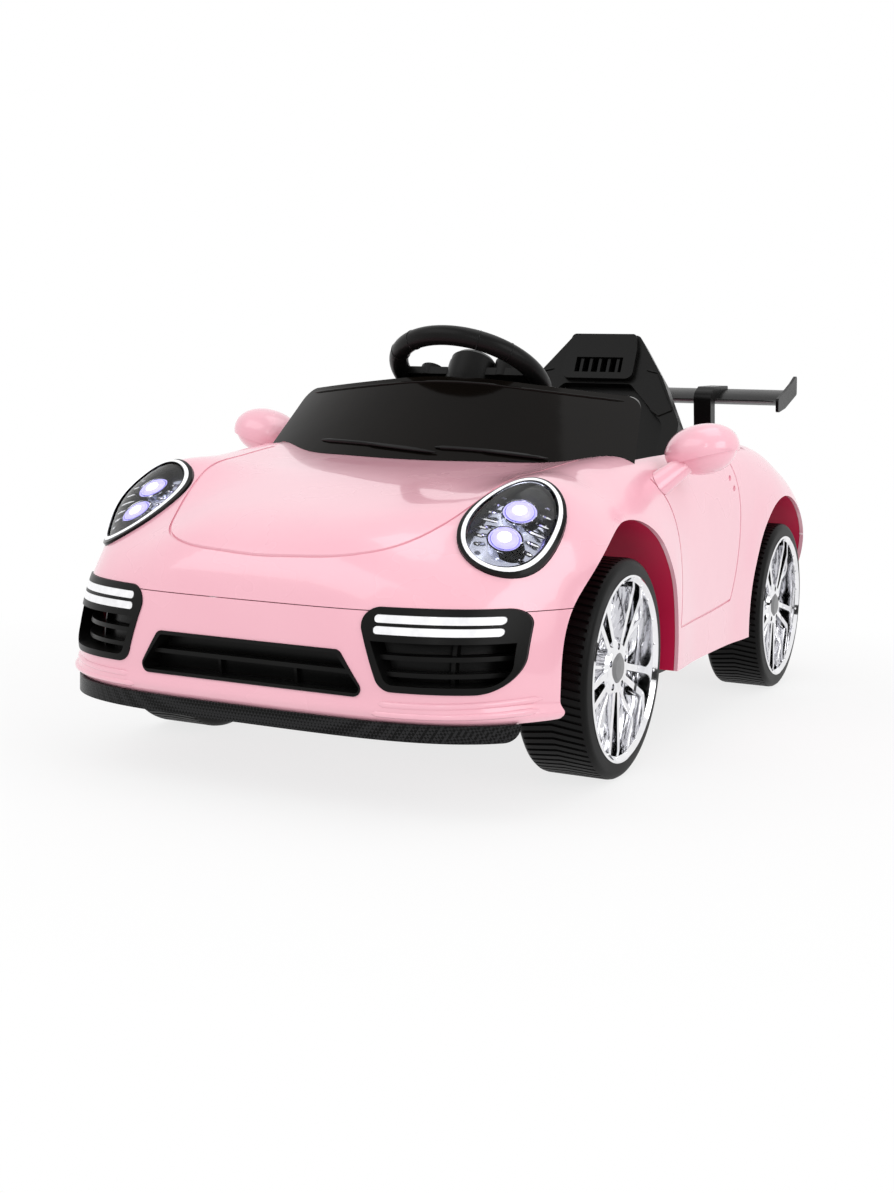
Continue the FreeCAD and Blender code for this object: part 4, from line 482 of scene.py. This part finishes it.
def surface(node):
    """Search tree of one CAD node's surface."""
    mesh = nodes[node].data
    corners = [vertex.co for vertex in mesh.vertices]
    return BVHTree.FromPolygons(corners, [list(face.vertices) for face in mesh.polygons])


# Wheels

def wheel_place(place):
    """Centre, radius and half width of a wheel, from its CAD tyre."""
    low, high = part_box(f"tyre_{place}")
    return (low + high) / 2, (high.z - low.z) / 2, (high.x - low.x) / 2


def tyre_profile(radius, half):
    """Closed section of (radius, across) points, and the rows of it where the tread starts and ends."""
    seat = radius - WALL_WIDTH
    tread = half - SHOULDER
    arc = []
    for step in range(SHOULDER_STEPS):
        turn = 0.5 * math.pi * step / SHOULDER_STEPS
        arc.append((radius - SHOULDER + SHOULDER * math.sin(turn), tread + SHOULDER * math.cos(turn)))
    inner = [(BORE, -half), (HUB, -half), (HUB, WEB_BACK - half), (seat - 2 * RIM_STEP, WEB_BACK - half),
             (seat - RIM_STEP, -half)]
    inner += [(reach, -across) for reach, across in arc]
    middle = [(radius, tread * (2 * share - 1)) for share in shares(TREAD_ROWS)]
    outer = arc[::-1]
    outer += [(seat, half), (seat, half - RIM_STEP), (seat - RIM_STEP, half - RIM_STEP),
              (seat - RIM_STEP, WEB_FRONT - half), (HUB, WEB_FRONT - half), (HUB, HUB_END - half),
              (BORE, HUB_END - half)]
    return inner + middle + outer, len(inner), len(inner) + len(middle)


def tyre(place):
    """Tyre with cross grooves over its tread, in place of the plain CAD ring."""
    centre, radius, half = wheel_place(place)
    out = 1 if centre.x > 0 else -1
    profile, first, last = tyre_profile(radius, half)
    points = []
    for row, (reach, across) in enumerate(profile):
        skew = TREAD_SKEW * abs(across) / half
        for lug in range(LUGS):
            for share, sunk in LUG_STEPS:
                turn = TURN * (lug + share) / LUGS + skew
                depth = GROOVE_DEPTH * sunk if first <= row < last else 0
                spread = Vector((0, math.cos(turn), math.sin(turn))) * (reach - depth)
                points.append(centre + spread + X_AXIS * (out * across))
    faces = grid_faces(len(profile), LUGS * len(LUG_STEPS), True)
    item = piece(f"treaded_tyre_{place}", points, faces, TYRE, "tyre_black", f"wheel_{place}", TREAD_SHARP)
    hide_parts(f"tyre_{place}")


def fluted_dish(spot):
    """Thin ring with waves round its front."""
    columns = FLUTES * FLUTE_STEPS
    points = []
    for front in (True, False):
        for row in shares(DISH_ROWS):
            share = row if front else 1 - row
            radius = between(DISH_INSIDE, DISH_OUTSIDE, share)
            for turn in turns(columns):
                wave = DISH_RISE * math.sin(math.pi * share) * math.cos(FLUTES * turn)
                height = DISH_FRONT + max(wave, -DISH_SINK) if front else DISH_BACK
                points.append(spot(radius, turn, height))
    return points, grid_faces(2 * (DISH_ROWS + 1), columns, True)


def spoke_bars(spot):
    """Pairs of thin bars between the CAD rim's own spokes."""
    bars = []
    for pair in range(BAR_PAIRS):
        middle = TURN * (pair + 0.5) / BAR_PAIRS
        for way in (-1, 1):
            path = []
            for share in shares(BAR_STEPS):
                radius = between(BAR_START, BAR_END, share)
                aside = way * (BAR_SPREAD + BAR_FAN * share) / radius
                path.append(spot(radius, middle + aside, BAR_PLACE - BAR_SAG * math.sin(math.pi * share)))
            bars.append(tube(path, BAR_THICK, sides=12))
    return joined(bars)


def rim_bolts(spot, out):
    """Small domed bolts round the rim's edge."""
    bolts = []
    for bolt in range(RIM_BOLTS):
        foot = spot(RIM_RADIUS - BOLT_INSET, TURN * (bolt + 0.5) / RIM_BOLTS, BOLT_PLACE)
        bolts.append(turned(BOLT_PROFILE, foot, out, 12))
    return joined(bolts)


def rim_dress(place):
    """Fluted dish behind the spokes, five more pairs of thin bars and the rim's small bolts."""
    centre = wheel_place(place)[0]
    out = X_AXIS if centre.x > 0 else -X_AXIS

    def spot(radius, turn, height):
        return centre + Vector((0, math.cos(turn), math.sin(turn))) * radius + out * height

    forms = {"dish": fluted_dish(spot), "bars": spoke_bars(spot), "bolts": rim_bolts(spot, out)}
    for name, form in forms.items():
        piece(f"rim_{name}_{place}", *form, CHROME, "bright_chrome", f"wheel_{place}")


# Headlamps

def lamp_point(across, along, depth):
    """Place in the left lamp's own directions."""
    return LAMP_CENTRE + LAMP_ACROSS * across + LAMP_SLOPE * along + LAMP_AXIS * depth


def lamp_depth(tree, across, along):
    """Depth of a surface's outside along the lamp's axis."""
    hit = tree.ray_cast(lamp_point(across, along, LAMP_CLEAR), -LAMP_AXIS)
    return LAMP_CLEAR - hit[3] if hit[0] is not None else 0


def lamp_ring():
    """Oval ring let into the bezel's face round the lens."""
    tree = surface("headlamp_bezel_left")
    path = []
    for turn in turns(RING_STEPS):
        across = (LENS_WIDE + RING_OUT) * math.cos(turn)
        along = (LENS_LONG + RING_OUT) * math.sin(turn)
        path.append(lamp_point(across, along, lamp_depth(tree, across, along) - RING_SINK))
    return tube(path, RING_THICK, True)


def lamp_fins():
    """Rows of fins at both sides of the projectors, as long as the oval leaves room for."""
    tree = surface("headlamp_lens_left")
    fins = []
    for side in (-1, 1):
        for row in range(-FIN_ROWS, FIN_ROWS + 1):
            along = row * FIN_PITCH
            room = LENS_WIDE * FIN_WIDE * math.sqrt(max(1 - (along / (LENS_LONG * FIN_LONG)) ** 2, 0))
            near = FIN_NEAR if row else FIN_NEAR_MIDDLE
            if room - near < FIN_SHORTEST:
                continue
            depth = lamp_depth(tree, side * room * FIN_PROBE, along) - FIN_SINK
            reach = [side * between(near, room, share) for share in shares(FIN_STEPS)]
            path = [lamp_point(across, along, depth) for across in reach]
            fins.append(tube(path, FIN_THICK, sides=8))
    return joined(fins)


def projectors(profile, steps=48):
    """One turned form at each of the lamp's two projectors."""
    forms = []
    for step in (-1, 1):
        spot = lamp_point(0, step * PROJECTOR_SPREAD, PROJECTOR_DEPTH)
        forms.append(turned(profile, spot, LAMP_AXIS, steps))
    return joined(forms)


def dome(share, foot, rise, angles):
    """Profile of a dome whose radius is a share of the projector's."""
    radius = PROJECTOR_RADIUS * share
    return [(radius * math.cos(turn), foot + rise * math.sin(turn)) for turn in angles]


def headlamps():
    """A white ring on each bezel, and behind the lens two projectors with chrome fins beside them."""
    ring = lamp_ring()
    fins = lamp_fins()
    rings = projectors([(PROJECTOR_RADIUS + wider, height) for wider, height in PROJECTOR_BEZEL])
    lenses = projectors(dome(LENS_SHARE, LENS_FOOT, LENS_RISE, LENS_TURNS))
    cores = projectors(dome(CORE_SHARE, CORE_FOOT, CORE_RISE, CORE_TURNS), 24)
    for side, sign in SIDES.items():
        piece(f"lamp_ring_{side}", *mirrored(ring, sign), RING_PAINTED_GLOW, "white_lens")
        piece(f"lamp_fins_{side}", *mirrored(fins, sign), CHROME, "lamp_silver")
        piece(f"projector_rings_{side}", *mirrored(rings, sign), CHROME, "lamp_silver")
        piece(f"projector_lenses_{side}", *mirrored(lenses, sign), LED, "clear_lens")
        piece(f"projector_cores_{side}", *mirrored(cores, sign), LED_CORE, "white_lens")


# Screen, seat and bumper

def seen_from_front(tree, x, z):
    """Nearest point of a surface at one place across and height, from well ahead of the car."""
    return tree.ray_cast(Vector((x, -1, z)), Y_AXIS)[0]


def on_front(tree, spots, lift):
    """Points of a surface seen from the front at (x, z) spots, raised towards the front."""
    found = [seen_from_front(tree, x, z) for x, z in spots]
    return [point - Y_AXIS * lift for point in found if point is not None]


def top_edge(tree, x, high, low):
    """Height of a surface's upper edge at one place across, seen from the front."""
    while high - low > EDGE_ERROR:
        middle = (high + low) / 2
        if seen_from_front(tree, x, middle) is None:
            high = middle
        else:
            low = middle
    return low


def screen_bead():
    """Moulded bead under the screen's upper edge."""
    tree = surface("windscreen")
    low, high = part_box("windscreen")
    base = between(low.z, high.z, EDGE_FOOT)
    spots = []
    for share in shares(BEAD_STEPS):
        x = high.x * BEAD_SPAN * (2 * share - 1)
        spots.append((x, top_edge(tree, x, high.z + EDGE_SEARCH, base) - BEAD_DROP))
    piece("screen_bead", *tube(on_front(tree, spots, BEAD_LIFT), BEAD_THICK), SMOKED, "smoked_plastic")


def wipers():
    """Moulded wipers at the screen's foot: a blade and an arm each."""
    tree = surface("windscreen")
    forms = []
    for start, end, foot in WIPERS:
        blade = []
        for share in shares(BLADE_STEPS):
            blade.append((between(start, end, share), foot - BLADE_DROP * share ** 2))
        forms.append(tube(on_front(tree, blade, BLADE_LIFT), BLADE_THICK))
        hold = between(start, end, ARM_START)
        arm = []
        for share in shares(ARM_STEPS):
            arm.append((between(hold, end + ARM_PAST, share), foot - ARM_BELOW - ARM_DROP * share))
        forms.append(tube(on_front(tree, arm, ARM_LIFT), ARM_THICK))
    piece("wipers", *joined(forms), GLOSS, "smoked_plastic")


def seat_trim():
    """Raised trim lines at the seat's shoulders."""
    tree = surface("seat")
    for side, sign in SIDES.items():
        spots = []
        for (x, z), (next_x, next_z) in zip(SEAT_TRIM, SEAT_TRIM[1:]):
            for share in shares(SEAT_TRIM_STEPS)[:-1]:
                spots.append((sign * between(x, next_x, share), between(z, next_z, share)))
        form = tube(on_front(tree, spots, SEAT_TRIM_LIFT), SEAT_TRIM_THICK)
        piece(f"seat_trim_{side}", *form, BLACK, "black_satin")


def bumper_creases():
    """Two soft moulded steps above each end of the front lip."""
    tree = surface("front_bumper")
    for side, sign in SIDES.items():
        lines = []
        for start, height, rise in CREASES:
            spots = []
            for share in shares(CREASE_STEPS):
                spots.append((sign * between(start, CREASE_END, share), height + rise * share ** 2))
            lines.append(tube(on_front(tree, spots, -CREASE_SINK), CREASE_THICK, sides=14))
        piece(f"bumper_creases_{side}", *joined(lines), PINK, "pink_gloss")


# Steering wheel

def grip_bands():
    """Raised joint bands round the steering wheel's grip."""
    joint = next(row for row in frame["joints"] if row["name"] == "steering")
    axis = Vector(joint["axis"]).normalized()
    centre = Vector(joint["pos_m"])
    low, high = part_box("steering_wheel")
    up = X_AXIS.cross(axis).normalized()
    reach = (high.x - low.x) / 2 - GRIP
    bands = []
    for degrees in BAND_DEGREES:
        angle = math.radians(degrees)
        out = X_AXIS * math.cos(angle) + up * math.sin(angle)
        loop = []
        for turn in turns(BAND_STEPS):
            loop.append(centre + out * (reach + GRIP * math.cos(turn)) + axis * (GRIP * math.sin(turn)))
        bands.append(tube(loop, BAND_THICK, True, 6))
    piece("grip_bands", *joined(bands), GLOSS, "black_satin", "steering")


# Rear wing

def wing_strip():
    """Grey strip along the wing's lower front edge."""
    low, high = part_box("wing_blade")
    tree = surface("wing_blade")
    front = []
    for share in shares(STRIP_STEPS):
        x = (high.x - STRIP_INSET) * (2 * share - 1)
        hit = tree.ray_cast(Vector((x, low.y - STRIP_CLEAR, low.z + STRIP_HEIGHT)), Y_AXIS)
        front.append(hit[0])
    piece("wing_strip", *tube(front, STRIP_THICK, sides=8), GREY, "grey_plastic")


# Stage

def flat_sheet(name, corners, material):
    """Flat four-cornered object."""
    mesh = bpy.data.meshes.new(name)
    mesh.from_pydata(corners, [], [(0, 1, 2, 3)])
    mesh.materials.append(material)
    item = bpy.data.objects.new(name, mesh)
    bpy.context.scene.collection.objects.link(item)
    return item


def mix_shaders(tree, factor, first, second, output):
    """Two shaders blended by a factor, to the tree's output."""
    mix = tree.nodes.new("ShaderNodeMixShader")
    tree.links.new(factor, mix.inputs["Fac"])
    tree.links.new(first, mix.inputs[1])
    tree.links.new(second, mix.inputs[2])
    tree.links.new(mix.outputs["Shader"], tree.nodes[output].inputs["Surface"])


def stage_floor():
    """Pale floor that fades into the white surround away from the car."""
    material, tree, bsdf = shader("pale_floor")
    set_inputs(bsdf, Base_Color=(0.86, 0.86, 0.86, 1), Roughness=0.7)
    place = tree.nodes.new("ShaderNodeTexCoord")
    away = tree.nodes.new("ShaderNodeVectorMath")
    away.operation = "LENGTH"
    tree.links.new(place.outputs["Object"], away.inputs[0])
    fade = tree.nodes.new("ShaderNodeMapRange")
    set_inputs(fade, From_Min=FLOOR_NEAR, From_Max=FLOOR_FAR, To_Min=FLOOR_WHITE)
    tree.links.new(away.outputs["Value"], fade.inputs["Value"])
    white = tree.nodes.new("ShaderNodeEmission")
    mix_shaders(tree, fade.outputs["Result"], bsdf.outputs["BSDF"], white.outputs["Emission"],
                "Material Output")
    half = FLOOR_HALF
    corners = [(-half, -half, 0), (half, -half, 0), (half, half, 0), (-half, half, 0)]
    floor = flat_sheet("floor", corners, material)
    floor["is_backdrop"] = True


def stage_world():
    """White surround for the camera and reflections, and softer light for the rest."""
    world = bpy.data.worlds.new("studio")
    world.use_nodes = True
    bpy.context.scene.world = world
    tree = world.node_tree
    soft = tree.nodes["Background"]
    set_inputs(soft, Color=(1, 1, 1, 1), Strength=AMBIENT)
    white = tree.nodes.new("ShaderNodeBackground")
    set_inputs(white, Color=(1, 1, 1, 1), Strength=1)
    rays = tree.nodes.new("ShaderNodeLightPath")
    seen = rays.outputs["Is Camera Ray"]
    for kind in ("Is Glossy Ray", "Is Transmission Ray"):
        either = tree.nodes.new("ShaderNodeMath")
        either.operation = "MAXIMUM"
        tree.links.new(seen, either.inputs[0])
        tree.links.new(rays.outputs[kind], either.inputs[1])
        seen = either.outputs["Value"]
    mix_shaders(tree, seen, soft.outputs["Background"], white.outputs["Background"], "World Output")


def soft_box(name, place, aim, size, power):
    """Rectangular studio lamp turned towards a point."""
    light = bpy.data.lights.new(name, "AREA")
    light.shape = "RECTANGLE"
    light.size = size[0]
    light.size_y = size[1]
    light.energy = power
    item = bpy.data.objects.new(name, light)
    item.location = place
    item.rotation_euler = (Vector(aim) - Vector(place)).to_track_quat("-Z", "Y").to_euler()
    bpy.context.scene.collection.objects.link(item)


def dark_board(name, middle, size, normal):
    """Dark studio board that shows only in reflections."""
    material, _, bsdf = shader(name)
    set_inputs(bsdf, Base_Color=(0.02, 0.02, 0.02, 1), Roughness=0.9)
    middle = Vector(middle)
    aside = Vector(normal).cross(Z_AXIS).normalized() * size[0] / 2
    up = Z_AXIS * size[1] / 2
    corners = [middle - aside - up, middle + aside - up, middle + aside + up, middle - aside + up]
    board = flat_sheet(name, corners, material)
    board.visible_camera = False
    board.visible_diffuse = False
    board.visible_shadow = False
    board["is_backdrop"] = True


def photo_camera():
    """Camera at the photograph's place and angle."""
    camera = bpy.data.cameras.new("camera")
    item = bpy.data.objects.new("camera", camera)
    bpy.context.scene.collection.objects.link(item)
    bpy.context.scene.camera = item
    columns = Matrix((CAMERA_RIGHT, CAMERA_UP, -CAMERA_FORWARD)).transposed()
    item.matrix_world = Matrix.Translation(CAMERA_PLACE) @ columns.to_4x4()
    camera.sensor_fit = "VERTICAL"
    camera.sensor_height = SENSOR
    camera.lens = FOCAL_PIXELS * SENSOR / PHOTO_HEIGHT
    camera.shift_x = (PHOTO_WIDTH / 2 - PHOTO_MIDDLE[0]) / PHOTO_HEIGHT
    camera.shift_y = (PHOTO_MIDDLE[1] - PHOTO_HEIGHT / 2) / PHOTO_HEIGHT


dress_frame()
for wheel in WHEELS:
    tyre(wheel)
    rim_dress(wheel)
headlamps()
screen_bead()
wipers()
seat_trim()
bumper_creases()
grip_bands()
wing_strip()

stage_floor()
stage_world()
soft_box("key", place=(-0.9, -1.7, 2.0), aim=(0, -0.1, 0.2), size=(2.2, 1.6), power=13)
soft_box("top", place=(0.3, 0.3, 2.2), aim=(0, 0, 0.2), size=(1.6, 1.2), power=7)
soft_box("near_side", place=(2.3, -0.7, 1.1), aim=(0.2, 0, 0.2), size=(1.6, 1.2), power=13)
soft_box("edge_strip", place=(0.9, -2.3, 1.3), aim=(0.1, -0.4, 0.2), size=(0.2, 0.9), power=3)
dark_board("side_board", middle=(1.7, 0.1, 0.2), size=(1.6, 0.22), normal=(-1, 0, 0))
dark_board("low_board", middle=(1.5, -1.3, 0.12), size=(0.9, 0.1), normal=(-1, 0.8, 0))
bpy.context.scene.view_settings.view_transform = "Standard"
photo_camera()

[[list(corner) for corner in pair] for pair in (bounds_before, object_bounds())]
